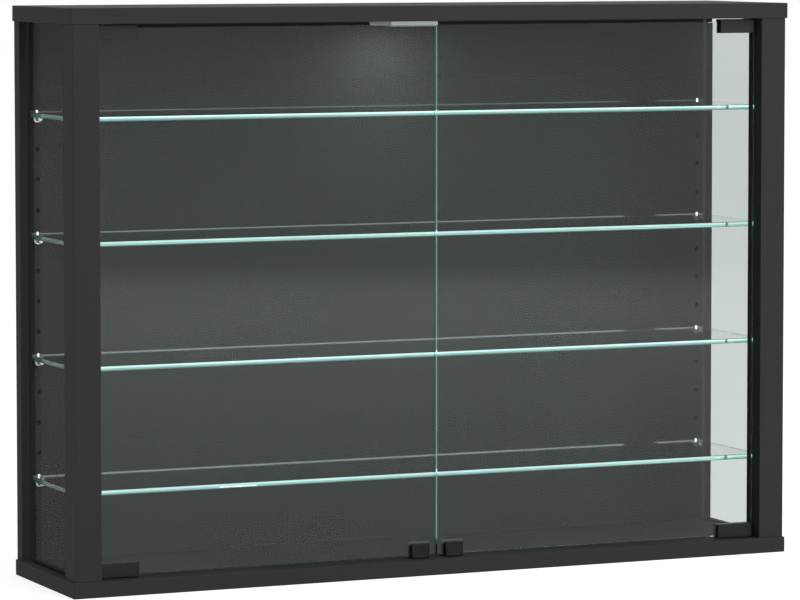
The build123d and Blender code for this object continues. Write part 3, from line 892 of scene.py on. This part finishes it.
FINISHES: dict[str, Finish] = {
    "boards": Melamine("anthracite_melamine"),
    # The back wall carries painted light: a glowing strip over each shelf and a glint at each peg.
    "back_wall": ShelfWall("back_wall_melamine"),
    # Door glass: painted green glow on its ends above the clips and on its flats.
    "glass": FloatGlass("door_float_glass", end_glow=(0.085, 0.20, 0.165), ends_lit_from=CLIP_TOP,
                        ends_lit_within=0.1, flat_glow=(0.01, 0.02, 0.018), inner_share=0.3),
    # Side glass: painted light in the rear groove.
    "side_glass": FloatGlass("side_float_glass", ior=1.04, tint=(0.706, 0.68, 0.691), groove_from=0.0738,
                             groove_glow=(0.014, 0.04)),
    # Shelf glass: painted glow on front, rear, ends and rim, in painted bands.
    "shelf_glass": FloatGlass("polished_shelf_glass", ior=1.52, tint=(0.93, 0.965, 0.955),
                              end_tint=(0.10, 0.58, 0.46), end_glow=(0.02, 0.10, 0.08),
                              front_glow=(0.60, 0.96, 0.92), rear_glow=(0.10, 0.14, 0.13),
                              rim_glow=(0.26, 0.28, 0.27), banded=True),
    "pegs": Metal("bright_nickel", colour=(0.80, 0.79, 0.77), roughness=0.12, line_amount=0.03,
                  line_scale=(900.0, 60.0, 900.0)),
    "hinge_black": Moulding("black_casting", colour=(0.0165, 0.0165, 0.0175), roughness=0.4),
    "pin_steel": Metal("turned_steel", colour=(0.55, 0.55, 0.57), line_scale=(400.0, 400.0, 4000.0)),
    "bush_plastic": Moulding("black_acetal", colour=(0.018, 0.018, 0.018), roughness=0.33, relief=0.1),
    "clamp_pad": Moulding("grip_pad", colour=(0.02, 0.02, 0.021), roughness=0.7, grain=2200.0, relief=0.5,
                          wear=0.1),
    "screw_steel": Metal("zinc_plated_screws", colour=(0.52, 0.53, 0.56), roughness=0.3, line_amount=0.05,
                         line_scale=(900.0, 900.0, 900.0)),
    "pull_black": Moulding("satin_black_pull", colour=(0.010, 0.010, 0.011), roughness=0.38, grain=1700.0,
                           relief=0.12),
    "clip_steel": Metal("spring_steel", colour=(0.30, 0.31, 0.32), roughness=0.34,
                        line_scale=(30.0, 2600.0, 2600.0)),
    "catch_plastic": Moulding("black_catch_moulding", colour=(0.016, 0.016, 0.016), roughness=0.45),
    "magnet": Metal("plated_magnet", colour=(0.36, 0.36, 0.38), roughness=0.4, line_amount=0.03,
                    line_scale=(1200.0, 1200.0, 1200.0)),
    # Painted glow on the silver housing, which is no lamp.
    "light_silver": Metal("satin_silver", colour=(0.95, 0.96, 0.96), roughness=0.45, line_amount=0.06,
                          metallic=0.1, glow=(0.08, 0.08, 0.08)),
    "light_diffuser": Opal("lit_opal_sheet"),
    "light_circuit": Moulding("white_lamp_board", colour=(0.72, 0.73, 0.70), worn=(0.8, 0.8, 0.78),
                              roughness=0.4, relief=0.05),
    "light_emitter": Opal("lamp_chips", colour=(0.9, 0.75, 0.3), glow=(1.0, 0.93, 0.75), strength=8.0,
                          pitch=0.0012),
    "inlet_plastic": Moulding("inlet_moulding", colour=(0.02, 0.02, 0.02), roughness=0.5),
    "cap_plastic": Moulding("anthracite_caps", colour=srgb(50, 51, 52), worn=srgb(90, 91, 92), roughness=0.5),
    "dowel_wood": Beech("turned_beech"),
    "hanger_steel": Metal("zinc_plated_sheet", colour=(0.55, 0.56, 0.58), roughness=0.32,
                          line_scale=(60.0, 900.0, 1800.0)),
}


class Paints:
    """Makes each finish's material once and puts it on pieces by slot."""

    def __init__(self) -> None:
        """Start with no materials made."""
        self.effects = Effects()
        self.made: dict[str, bpy.types.Material] = {}

    def of(self, slot: str) -> bpy.types.Material:
        """Return the material of a slot, making it at its first use."""
        if slot not in self.made:
            self.made[slot] = FINISHES[slot].material(self.effects)
        return self.made[slot]

    def coat(self, piece: bpy.types.Object, slot: str) -> None:
        """Give a piece the material of a slot.

        Args:
            piece: The object.
            slot: The slot's name.
        """
        piece.data.materials.clear()
        piece.data.materials.append(self.of(slot))


# Studio


@dataclass(frozen=True)
class SoftLamp:
    """A large soft lamp: its place, the side of its square, its power in watts, and the point it looks at."""

    name: str
    place: Point
    size: float
    power: float
    aim: Point = (0.0, 0.0, 0.3)

    def hang(self) -> None:
        """Make the lamp, tilted from straight down by the angle to its aim and turned towards it."""
        data = bpy.data.lights.new(self.name, "AREA")
        data.size = self.size
        data.energy = self.power
        lamp = bpy.data.objects.new(self.name, data)
        lamp.location = self.place
        across, away, rise = np.array(self.aim) - np.array(self.place)
        lamp.rotation_euler = (math.atan2(math.hypot(across, away), -rise), 0.0, math.atan2(-across, away))
        bpy.context.scene.collection.objects.link(lamp)


@dataclass
class Studio:
    """The floor, the backdrop, the lamps and the camera."""

    camera_place: Point = (-1.7761, -4.0074, 0.6554)
    camera_turn: float = -24.1326
    camera_tilt: float = -3.8701
    sensor: float = 36.0
    lens: float = 189.974
    shift: tuple[float, float] = (-0.03, -0.0991)
    sight: tuple[float, float] = (0.1, 60.0)
    ambient: tuple[float, float] = (0.15, 0.50)
    floor_drop: float = 0.0002
    floor_half: float = 14.0
    floor_pale: Colour = (0.84, 0.84, 0.84)
    floor_dull: Colour = (0.80, 0.80, 0.80)
    floor_glow: tuple[float, float] = (0.8, 0.72)
    lamps: tuple[SoftLamp, ...] = (SoftLamp("key_lamp", (1.2, -3.2, 1.75), 2.2, 75.0),
                                   SoftLamp("fill_lamp", (-2.6, -2.4, 1.9), 1.8, 1.5))

    def build(self) -> None:
        """Make everything in the studio, seen by the plain view transform."""
        bpy.context.scene.view_settings.view_transform = "Standard"
        self._camera()
        self._world()
        self._floor()
        for lamp in self.lamps:
            lamp.hang()

    def _camera(self) -> None:
        """Place the camera at the photograph's viewpoint, looking slightly down."""
        data = bpy.data.cameras.new("camera")
        data.sensor_width = self.sensor
        data.lens = self.lens
        data.shift_x, data.shift_y = self.shift
        data.clip_start, data.clip_end = self.sight
        camera = bpy.data.objects.new("camera", data)
        camera.location = self.camera_place
        camera.rotation_euler = (math.pi / 2 + math.radians(self.camera_tilt), 0.0,
                                 math.radians(self.camera_turn))
        bpy.context.scene.collection.objects.link(camera)
        bpy.context.scene.camera = camera

    @staticmethod
    def _seen(tree: Tree, direct: float = 1.0, sent_on: float = 1.0) -> bpy.types.NodeSocket:
        """Tell rays that look at the backdrop from rays that gather light.

        Args:
            tree: The tree to add to.
            direct: The value for rays from the camera.
            sent_on: The value for rays that a surface has mirrored or let through.

        Returns:
            The value, 0 for all other rays.
        """
        path = tree.add("LightPath")
        seen = tree.product(path.outputs["Is Camera Ray"], direct)
        for ray in ("Is Glossy Ray", "Is Transmission Ray"):
            seen = tree.math("MAXIMUM", seen, tree.product(path.outputs[ray], sent_on))
        return seen

    def _world(self) -> None:
        """A white backdrop to look at, and a soft light on the object, weaker from the left."""
        world = bpy.data.worlds.new("studio")
        tree = Tree(emptied(world))
        way = tree.add("SeparateXYZ", {0: tree.add("TexCoord").outputs["Generated"]})
        soft = tree.ramp(way.outputs["X"], -1.0, 1.0, *self.ambient)
        strength = tree.math("MAXIMUM", self._seen(tree), soft)
        backdrop = tree.add("Background", {"Color": WHITE, "Strength": strength})
        tree.add("OutputWorld", {"Surface": backdrop.outputs[0]})
        bpy.context.scene.world = world

    def _floor(self) -> None:
        """A pale floor that looks white but keeps the object's shadow."""
        mesh = bpy.data.meshes.new("floor")
        around = np.array([[-1, -1], [1, -1], [1, 1], [-1, 1]]) * self.floor_half
        points = np.column_stack([around, np.full(len(around), -self.floor_drop)])
        mesh.from_pydata(points.tolist(), [], [[0, 1, 2, 3]])
        floor = bpy.data.objects.new("floor", mesh)
        bpy.context.scene.collection.objects.link(floor)
        made = bpy.data.materials.new("pale_floor")
        tree = Tree(emptied(made))
        mottled = tree.blend(tree.noise(Scale=3.0), opaque(self.floor_dull), opaque(self.floor_pale))
        shader = tree.add("BsdfPrincipled", {"Base Color": mottled, "Roughness": 0.9,
                                             "Specular IOR Level": 0.0, "Emission Color": WHITE,
                                             "Emission Strength": self._seen(tree, *self.floor_glow)})
        tree.add("OutputMaterial", {"Surface": shader.outputs[0]})
        mesh.materials.append(made)


# Shapes


@dataclass(frozen=True)
class Setting:
    """Where a shape is put: an origin, and the directions of its three axes."""

    origin: Point
    right: Point
    ahead: Point
    up: Point

    def place(self, points: np.ndarray) -> np.ndarray:
        """Carry points from the shape's own axes to the frame: origin plus coordinates times directions.

        Args:
            points: An array whose last axis is the three coordinates, in millimetres.

        Returns:
            The points in metres.
        """
        turn = np.array([self.right, self.ahead, self.up], dtype=float)
        return (np.array(self.origin) + points @ turn) * MM


def facing(origin: Point, up: Point) -> Setting:
    """Set a round shape on a point.

    Args:
        origin: The point, in millimetres.
        up: The direction of the shape's own height, along one of the frame's axes.

    Returns:
        The setting, right-handed.
    """
    height = np.array(up, dtype=float)
    ahead = np.array([0.0, 0.0, 1.0]) if abs(height[2]) < 0.5 else np.array([0.0, 1.0, 0.0])
    right = np.cross(ahead, height)
    return Setting(origin, tuple(right), tuple(ahead), tuple(height))


class Skin:
    """The faces of one piece, gathered from closed surfaces of rings."""

    def __init__(self) -> None:
        """Start empty."""
        self.points: list[np.ndarray] = []
        self.faces: list[list[int]] = []
        self.count = 0

    def rings(self, points: np.ndarray) -> None:
        """Join rings by quads and close the first and last with one face each.

        Args:
            points: Rings by points by three; each ring runs anticlockwise seen from the side of the last.
        """
        rows, per_row = points.shape[:2]
        index = np.arange(rows * per_row).reshape(rows, per_row) + self.count
        after = np.roll(index, -1, axis=1)
        quads = np.stack([index[:-1], after[:-1], after[1:], index[1:]], axis=-1).reshape(-1, 4)
        self.faces += quads.tolist() + [index[0, ::-1].tolist(), index[-1].tolist()]
        self.points.append(points.reshape(-1, 3))
        self.count += rows * per_row

    def piece(self, name: str) -> bpy.types.Object:
        """Make the object.

        Args:
            name: Its name.

        Returns:
            The object, at the origin, with soft shading across slight turns.
        """
        mesh = bpy.data.meshes.new(name)
        mesh.from_pydata(np.concatenate(self.points).tolist(), [], self.faces)
        mesh.update()
        mesh.shade_smooth()
        mesh.set_sharp_from_angle(angle=SMOOTH_ANGLE)
        piece = bpy.data.objects.new(name, mesh)
        bpy.context.scene.collection.objects.link(piece)
        return piece


def turned(profile: list[tuple[float, float]] | np.ndarray, around: int = 32) -> np.ndarray:
    """Turn a profile round its axis: x = radius cos angle, y = radius sin angle, z = height.

    Args:
        profile: Radius and height of each ring, from the lowest.
        around: How many points a ring has.

    Returns:
        The rings.
    """
    rows = np.array(profile, dtype=float)
    radius, height = rows[:, :1], rows[:, 1:]
    angle = np.arange(around) * 2 * np.pi / around
    return np.stack(np.broadcast_arrays(radius * np.cos(angle), radius * np.sin(angle), height), axis=-1)


def quarter(radius: float, steps: int = 5) -> tuple[np.ndarray, np.ndarray]:
    """Trace a rounded edge: inset is radius (1 - cos a) and rise is radius sin a, for a from 0 to 90 degrees.

    Args:
        radius: The edge's radius.
        steps: How many points it has.

    Returns:
        The insets and the rises.
    """
    angle = np.linspace(0, np.pi / 2, steps)
    return radius * (1 - np.cos(angle)), radius * np.sin(angle)


def rounded_ring(width: float, height: float, radius: float, corner_steps: int = 6) -> np.ndarray:
    """Trace a rounded rectangle: each corner's centre plus radius times cos and sin over its quarter turn.

    Args:
        width: Its size along the first axis.
        height: Its size along the second axis.
        radius: The radius of its corners.
        corner_steps: How many points a corner has.

    Returns:
        The points, anticlockwise, as an array of two columns.
    """
    radius = max(min(radius, width / 2 - 0.01, height / 2 - 0.01), 0.01)
    start = np.repeat(np.arange(4) * np.pi / 2, corner_steps)
    angle = start + np.tile(np.linspace(0, np.pi / 2, corner_steps), 4)
    centre_x = np.where(np.cos(start + np.pi / 4) > 0, 1, -1) * (width / 2 - radius)
    centre_y = np.where(np.sin(start + np.pi / 4) > 0, 1, -1) * (height / 2 - radius)
    return np.column_stack([centre_x + radius * np.cos(angle), centre_y + radius * np.sin(angle)])


@dataclass(frozen=True)
class Screw:
    """A screw: a head with a driven recess, a thread that winds down the shank, and a point or flat end."""

    head_radius: float
    head_height: float
    core_radius: float
    thread_radius: float
    length: float
    pitch: float
    recess: Recess
    recess_radius: float
    recess_depth: float
    countersunk: bool = True
    pointed: bool = True
    around: int = 24
    rows_per_turn: int = 7
    fewest_rows: int = 8
    thread_stop: float = 0.4
    neck_gap: float = 0.3
    bevel: float = 0.25
    lip: float = 0.15
    point_start: float = 0.15
    point_slope: float = 2.2
    point_share: float = 0.05

    def rings(self) -> np.ndarray:
        """Work out the surface from the tip up, over the head and down into its recess.

        Returns:
            The rings, with the head's flat at height 0.
        """
        angle = np.arange(self.around) * 2 * np.pi / self.around
        return np.concatenate([self._shank(angle), self._head(angle), self._recess(angle)])

    def _shank(self, angle: np.ndarray) -> np.ndarray:
        """Wind the thread: the core plus a ridge that rises and falls once a pitch of height plus turn.

        Args:
            angle: The angles of a ring's points.

        Returns:
            The rings, which shrink in proportion to height near the tip of a pointed screw.
        """
        low = -self.length
        turns = (self.length - self.head_height) / self.pitch
        rows = max(int(turns * self.rows_per_turn), self.fewest_rows)
        z = np.linspace(low, -self.head_height - self.thread_stop, rows)[:, None]
        ridge = np.abs(((z / self.pitch - angle / (2 * np.pi)) % 1.0) * 2 - 1) ** 2
        radius = self.core_radius + (self.thread_radius - self.core_radius) * ridge
        if self.pointed:
            radius = radius * np.clip((z - low + self.point_start) / (self.point_slope * self.thread_radius),
                                      self.point_share, 1.0)
        return self._stack(radius, z, angle)

    def _head(self, angle: np.ndarray) -> np.ndarray:
        """Turn the head's profile, a cone under a countersunk head and a bevelled step under a flat one.

        Args:
            angle: The angles of a ring's points.

        Returns:
            The rings.
        """
        neck = -self.head_height
        under = self.thread_radius if self.countersunk else self.head_radius - self.bevel
        shoulder = -self.bevel if self.countersunk else neck + self.bevel
        rows = np.array([(self.core_radius, neck - self.neck_gap), (under, neck),
                         (self.head_radius, shoulder), (self.head_radius, -self.lip),
                         (self.head_radius - self.lip, 0.0)])
        return self._stack(rows[:, :1], rows[:, 1:], angle)

    def _recess(self, angle: np.ndarray) -> np.ndarray:
        """Sink the recess: each ring is its share of the recess's radius, times the recess's outline.

        Args:
            angle: The angles of a ring's points.

        Returns:
            The rings, from the head's flat to the bottom.
        """
        share, height = np.array([[1.0, 0.0], [0.94, -0.25], [0.8, -self.recess_depth + 0.2],
                                  [0.45, -self.recess_depth]]).T[:, :, None]
        return self._stack(share * self.recess_radius * self.recess.outline(angle), height, angle)

    @staticmethod
    def _stack(radius: np.ndarray, height: np.ndarray, angle: np.ndarray) -> np.ndarray:
        """Join radius and height at every angle into points: radius cos, radius sin, height.

        Args:
            radius: The radius of each ring, or of each of its points.
            height: The height of each ring.
            angle: The angles of a ring's points.

        Returns:
            The rings.
        """
        return np.stack(np.broadcast_arrays(radius * np.cos(angle), radius * np.sin(angle), height), axis=-1)


WOOD_SCREW = Screw(head_radius=2.75, head_height=1.5, core_radius=1.05, thread_radius=1.5, length=11.0,
                   pitch=1.2, recess=Recess.CROSS, recess_radius=1.5, recess_depth=1.0)
GRUB_SCREW = Screw(head_radius=1.95, head_height=0.3, core_radius=1.6, thread_radius=1.95, length=2.0,
                   pitch=0.5, recess=Recess.HEXAGON, recess_radius=1.0, recess_depth=1.1, pointed=False)
JOINING_SCREW = Screw(head_radius=4.5, head_height=3.0, core_radius=1.9, thread_radius=2.5, length=48.0,
                      pitch=2.4, recess=Recess.HEXAGON, recess_radius=2.0, recess_depth=2.0,
                      countersunk=False)


# Sub-assemblies


@dataclass
class SubAssembly:
    """A group of pieces that are finished, and where needed modelled, together."""

    paints: Paints
    frame: dict

    def dress(self, *names: str, finish: str | None = None) -> None:
        """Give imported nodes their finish.

        Args:
            names: The nodes.
            finish: The finish, if it isn't the one named by their slot.
        """
        slots = {part["node"]: part["material_slot"] for part in self.frame["record"]["subparts"]}
        for name in names:
            self.paints.coat(self.frame["nodes"][name], finish or slots[name])
            LOG.info("%s finished as %s", name, finish or slots[name])

    def put(self, piece: bpy.types.Object, body: str, slot: str, node: str) -> None:
        """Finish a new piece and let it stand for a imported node.

        Args:
            piece: The piece.
            body: The body that it moves with.
            slot: The slot of its finish.
            node: The node that it replaces.
        """
        self.paints.coat(piece, slot)
        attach(piece, body)
        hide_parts(node)
        LOG.info("%s modelled with %d faces for %s", piece.name, len(piece.data.polygons), node)


@dataclass
class Carcass(SubAssembly):
    """The boards, posts and back wall, with the dowels that join them."""

    def build(self) -> None:
        """Finish the boards and dowels."""
        self.dress("top_board", "bottom_board", "front_post_left", "front_post_right")
        self.dress("back_wall", finish="back_wall")
        self.dress("dowels_top", "dowels_bottom")


@dataclass
class SidePanes(SubAssembly):
    """The two fixed panes in the grooves of the carcass."""

    def build(self) -> None:
        """Finish the panes."""
        self.dress("side_glass_left", "side_glass_right", finish="side_glass")


@dataclass
class ShelfStack(SubAssembly):
    """Four glass shelves, each on four nickel pegs."""

    shelves: int = 4
    top_peg: float = 469.0
    step: float = 124.4
    peg_x: float = 378.5
    front_face: float = -58.5
    rear_face: float = 74.0
    radius: float = 2.5
    depth: float = 8.0
    collar_radius: float = 4.0
    collar: float = 1.0
    tongue: float = 10.0
    seat_rise: float = 1.8
    edge: float = 0.3
    bevel: float = 0.5
    lip: float = 0.15
    fillet: float = 0.25

    def build(self) -> None:
        """Finish the shelves and model their pegs."""
        for number in range(1, self.shelves + 1):
            self.dress(f"glass_shelf_{number}")
            height = self.top_peg - self.step * (number - 1)
            skin = Skin()
            for x in (-self.peg_x, self.peg_x):
                for face, ahead in ((self.front_face, 1.0), (self.rear_face, -1.0)):
                    setting = facing((x, face, height), (0.0, ahead, 0.0))
                    skin.rings(setting.place(self.peg()))
            piece = skin.piece(f"nickel_pegs_{number}")
            self.put(piece, "cabinet", "pegs", f"shelf_pegs_{number}")

    def peg(self) -> np.ndarray:
        """Turn a peg's profile, then cut the tongue flat by holding its height under the seat's.

        Returns:
            The rings, from the end in the hole to the tip of the tongue.
        """
        inset, rise = quarter(self.edge)
        tip = self.collar + self.tongue
        deep = [(self.radius - self.bevel, -self.depth), (self.radius, -self.depth + self.bevel),
                (self.radius, 0.0)]
        rim = [(self.collar_radius - self.lip, 0.0), (self.collar_radius, self.lip)]
        rim += list(zip(self.collar_radius - inset, self.collar - self.edge + rise))
        waist = [(self.radius + self.fillet, self.collar), (self.radius, self.collar + self.fillet)]
        wide = self.edge * 2
        end_inset, end_rise = quarter(wide)
        tongue = list(zip(self.radius - end_inset, tip - wide + end_rise))
        rings = turned(deep + rim + waist + tongue, around=40)
        flat = len(deep) + len(rim)
        rings[flat:, :, 1] = np.minimum(rings[flat:, :, 1], self.seat_rise)
        return rings


@dataclass
class GlassDoor(SubAssembly):
    """One frameless door: its pane, two clamps on pivot pins, and the pull with its steel clip."""

    side: Side = Side.LEFT
    pull_x: float = 19.0
    pull_bottom: float = 16.5
    pull_width: float = 20.0
    pull_height: float = 15.0
    pull_thickness: float = 4.0
    glass_front: float = -74.0
    corner: float = 1.3
    edge: float = 0.9
    dish: float = 0.35
    dish_rings: tuple[float, ...] = (0.96, 0.85, 0.65, 0.4, 0.15)
    pocket: tuple[float, float, float] = (16.2, 12.0, 0.9)
    pocket_middle: float = 23.6
    pocket_corner: float = 0.4
    grub_x: tuple[float, float] = (338.75, 356.75)
    grub_heights: tuple[float, float] = (25.0, 558.25)
    grub_rear: float = -67.5

    def build(self) -> None:
        """Finish the door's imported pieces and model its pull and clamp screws."""
        word = self.side.word
        plain = ["door_glass", "clamp_pads", "pressure_plates", "strike_clip"]
        plain += [f"{part}_{level}" for part in ("hinge_clamp", "hinge_pin") for level in ("top", "bottom")]
        self.dress(*[f"{name}_{word}" for name in plain])
        skin = Skin()
        skin.rings(self.pull())
        self.put(skin.piece(f"pull_{word}"), self.side.body, "pull_black", f"door_pull_{word}")
        screws = Skin()
        for x in self.grub_x:
            for height in self.grub_heights:
                setting = facing((x * self.side.value, self.grub_rear, height), (0.0, 1.0, 0.0))
                screws.rings(setting.place(GRUB_SCREW.rings()))
        self.put(screws.piece(f"grub_screws_{word}"), self.side.body, "screw_steel", f"clamp_screws_{word}")

    def pull(self) -> np.ndarray:
        """Loft the pull from rounded rectangles: its rear pocket, its sides, a rounded edge, a dished front.

        The front sinks towards its middle by the dish times 1 minus the square of the ring's size.

        Returns:
            The rings, from the bottom of the pocket to the middle of the front.
        """
        wide, tall, deep = self.pocket
        middle = self.pull_bottom + self.pull_height / 2
        inset, rise = quarter(self.edge)
        front = self.pull_thickness
        rows = [(wide, tall, self.pocket_corner, self.pocket_middle, forward) for forward in (deep, 0.0)]
        rows += [(self.pull_width, self.pull_height, self.corner, middle, 0.0)]
        rows += [(self.pull_width - 2 * step, self.pull_height - 2 * step, self.corner, middle,
                  front - self.edge + up) for step, up in zip(inset, rise)]
        lip = (self.pull_width - 2 * self.edge, self.pull_height - 2 * self.edge)
        rows += [(lip[0] * share, lip[1] * share, self.corner * share, middle,
                  front - self.dish * (1 - share ** 2)) for share in self.dish_rings]
        setting = Setting((self.pull_x * self.side.value, self.glass_front, 0.0), right=(1.0, 0.0, 0.0),
                          ahead=(0.0, 0.0, 1.0), up=(0.0, -1.0, 0.0))
        loops = []
        for width, height, radius, level, forward in rows:
            ring = rounded_ring(width, height, radius)
            loops.append(np.column_stack([ring[:, 0], ring[:, 1] + level, np.full(len(ring), forward)]))
        return setting.place(np.array(loops))


@dataclass
class MagnetCatches(SubAssembly):
    """The two catches on the floor behind the pulls."""

    screw_x: float = 19.0
    screw_y: float = -57.9
    screw_z: float = 18.5

    def build(self) -> None:
        """Finish the catches and model their screws."""
        self.dress("catch_housing_left", "catch_housing_right", "catch_magnets")
        skin = Skin()
        for x in (-self.screw_x, self.screw_x):
            skin.rings(facing((x, self.screw_y, self.screw_z), (0.0, 0.0, 1.0)).place(WOOD_SCREW.rings()))
        self.put(skin.piece("catch_floor_screws"), "cabinet", "screw_steel", "catch_screws")


@dataclass
class CabinetLight(SubAssembly):
    """The flat lamp under the top board, and the light that it throws."""

    middle: tuple[float, float] = (0.0, 9.0)
    underside: float = 561.5
    screw_x: float = 18.75
    screw_z: float = 566.8
    power: float = 0.19
    glow: Colour = (1.0, 0.98, 0.95)
    glow_drop: float = 0.4
    spread: tuple[float, float] = (0.040, 0.042)

    def build(self) -> None:
        """Finish the lamp, model its screws and hang its light."""
        self.dress("light_housing", "light_lens", "light_board", "light_leds", "light_inlet")
        skin = Skin()
        for x in (-self.screw_x, self.screw_x):
            skin.rings(facing((x, self.middle[1], self.screw_z), (0.0, 0.0, -1.0)).place(WOOD_SCREW.rings()))
        self.put(skin.piece("lamp_screws"), "cabinet", "screw_steel", "light_screws")
        self.shine()

    def shine(self) -> None:
        """Hang the light just under the lens, unseen in reflections, where the lens itself shows."""
        data = bpy.data.lights.new("cabinet_glow", "AREA")
        data.shape = "RECTANGLE"
        data.size, data.size_y = self.spread
        data.energy = self.power
        data.color = self.glow
        lamp = bpy.data.objects.new("cabinet_glow", data)
        lamp.location = (self.middle[0] * MM, self.middle[1] * MM, (self.underside - self.glow_drop) * MM)
        lamp.visible_glossy = False
        lamp.visible_transmission = False
        bpy.context.scene.collection.objects.link(lamp)


@dataclass
class Fasteners(SubAssembly):
    """The joining screws through the boards, and the caps over those on top."""

    places: tuple[tuple[float, float], ...] = ((-384.0, -80.5), (384.0, -80.5), (-340.0, 82.0), (0.0, 82.0),
                                               (340.0, 82.0))
    height: float = 584.0
    sunk: float = 1.6
    cap_radius: float = 4.5
    cap_gap: float = 0.03
    cap_edge: float = 0.35
    cap_bevel: float = 0.4
    cap_drop: float = 0.02
    cap_dish: float = 0.1

    def build(self) -> None:
        """Model the screws and caps, and finish the hinge bushes."""
        self.dress("hinge_bushes_top", "hinge_bushes_bottom")
        for name, node, level, up in (("underside_screws", "bottom_screws", self.sunk, -1.0),
                                      ("topside_screws", "top_screws", self.height - self.sunk, 1.0)):
            skin = Skin()
            for x, y in self.places:
                skin.rings(facing((x, y, level), (0.0, 0.0, up)).place(JOINING_SCREW.rings()))
            self.put(skin.piece(name), "cabinet", "screw_steel", node)
        caps = Skin()
        for x, y in self.places:
            caps.rings(facing((x, y, self.height), (0.0, 0.0, 1.0)).place(self.cap()))
        self.put(caps.piece("dished_screw_caps"), "cabinet", "cap_plastic", "top_screw_caps")

    def cap(self) -> np.ndarray:
        """Turn a cap's profile: a bevel, a rounded rim, and a crown that sinks by the dish less its share.

        Returns:
            The rings, from the bottom to the middle of the crown, with the board's face at height 0.
        """
        inset, rise = quarter(self.cap_edge)
        widest = self.cap_radius - self.cap_gap
        foot = [(self.cap_radius - self.cap_bevel, -self.sunk), (widest, -self.sunk + self.cap_bevel)]
        rim = list(zip(widest - inset, -self.cap_edge + rise - self.cap_drop))
        crown = [(self.cap_radius * share, -self.cap_drop - self.cap_dish * (1 - share))
                 for share in (0.85, 0.5, 0.2)]
        return turned(foot + rim + crown, around=40)


@dataclass
class Hangers(SubAssembly):
    """The keyhole plates let into the rear face, with their screws."""

    plate_x: float = 280.0
    plate_z: float = 520.0
    screw_spacing: float = 46.0
    rear: float = 90.0

    def build(self) -> None:
        """Finish the plates and model their screws."""
        self.dress("hanger_plate_left", "hanger_plate_right")
        skin = Skin()
        half = self.screw_spacing / 2
        for x in (-self.plate_x - half, -self.plate_x + half, self.plate_x - half, self.plate_x + half):
            skin.rings(facing((x, self.rear, self.plate_z), (0.0, 1.0, 0.0)).place(WOOD_SCREW.rings()))
        self.put(skin.piece("plate_screws"), "cabinet", "screw_steel", "hanger_screws")


def main() -> None:
    """Build the studio and dress the cabinet."""
    logging.basicConfig(level=logging.INFO, format="%(message)s")
    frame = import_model()
    paints = Paints()
    Studio().build()
    assemblies = [Carcass(paints, frame), SidePanes(paints, frame), ShelfStack(paints, frame),
                  *[GlassDoor(paints, frame, side) for side in Side], MagnetCatches(paints, frame),
                  CabinetLight(paints, frame), Fasteners(paints, frame), Hangers(paints, frame)]
    for assembly in assemblies:
        assembly.build()


if __name__ == "__main__":
    main()
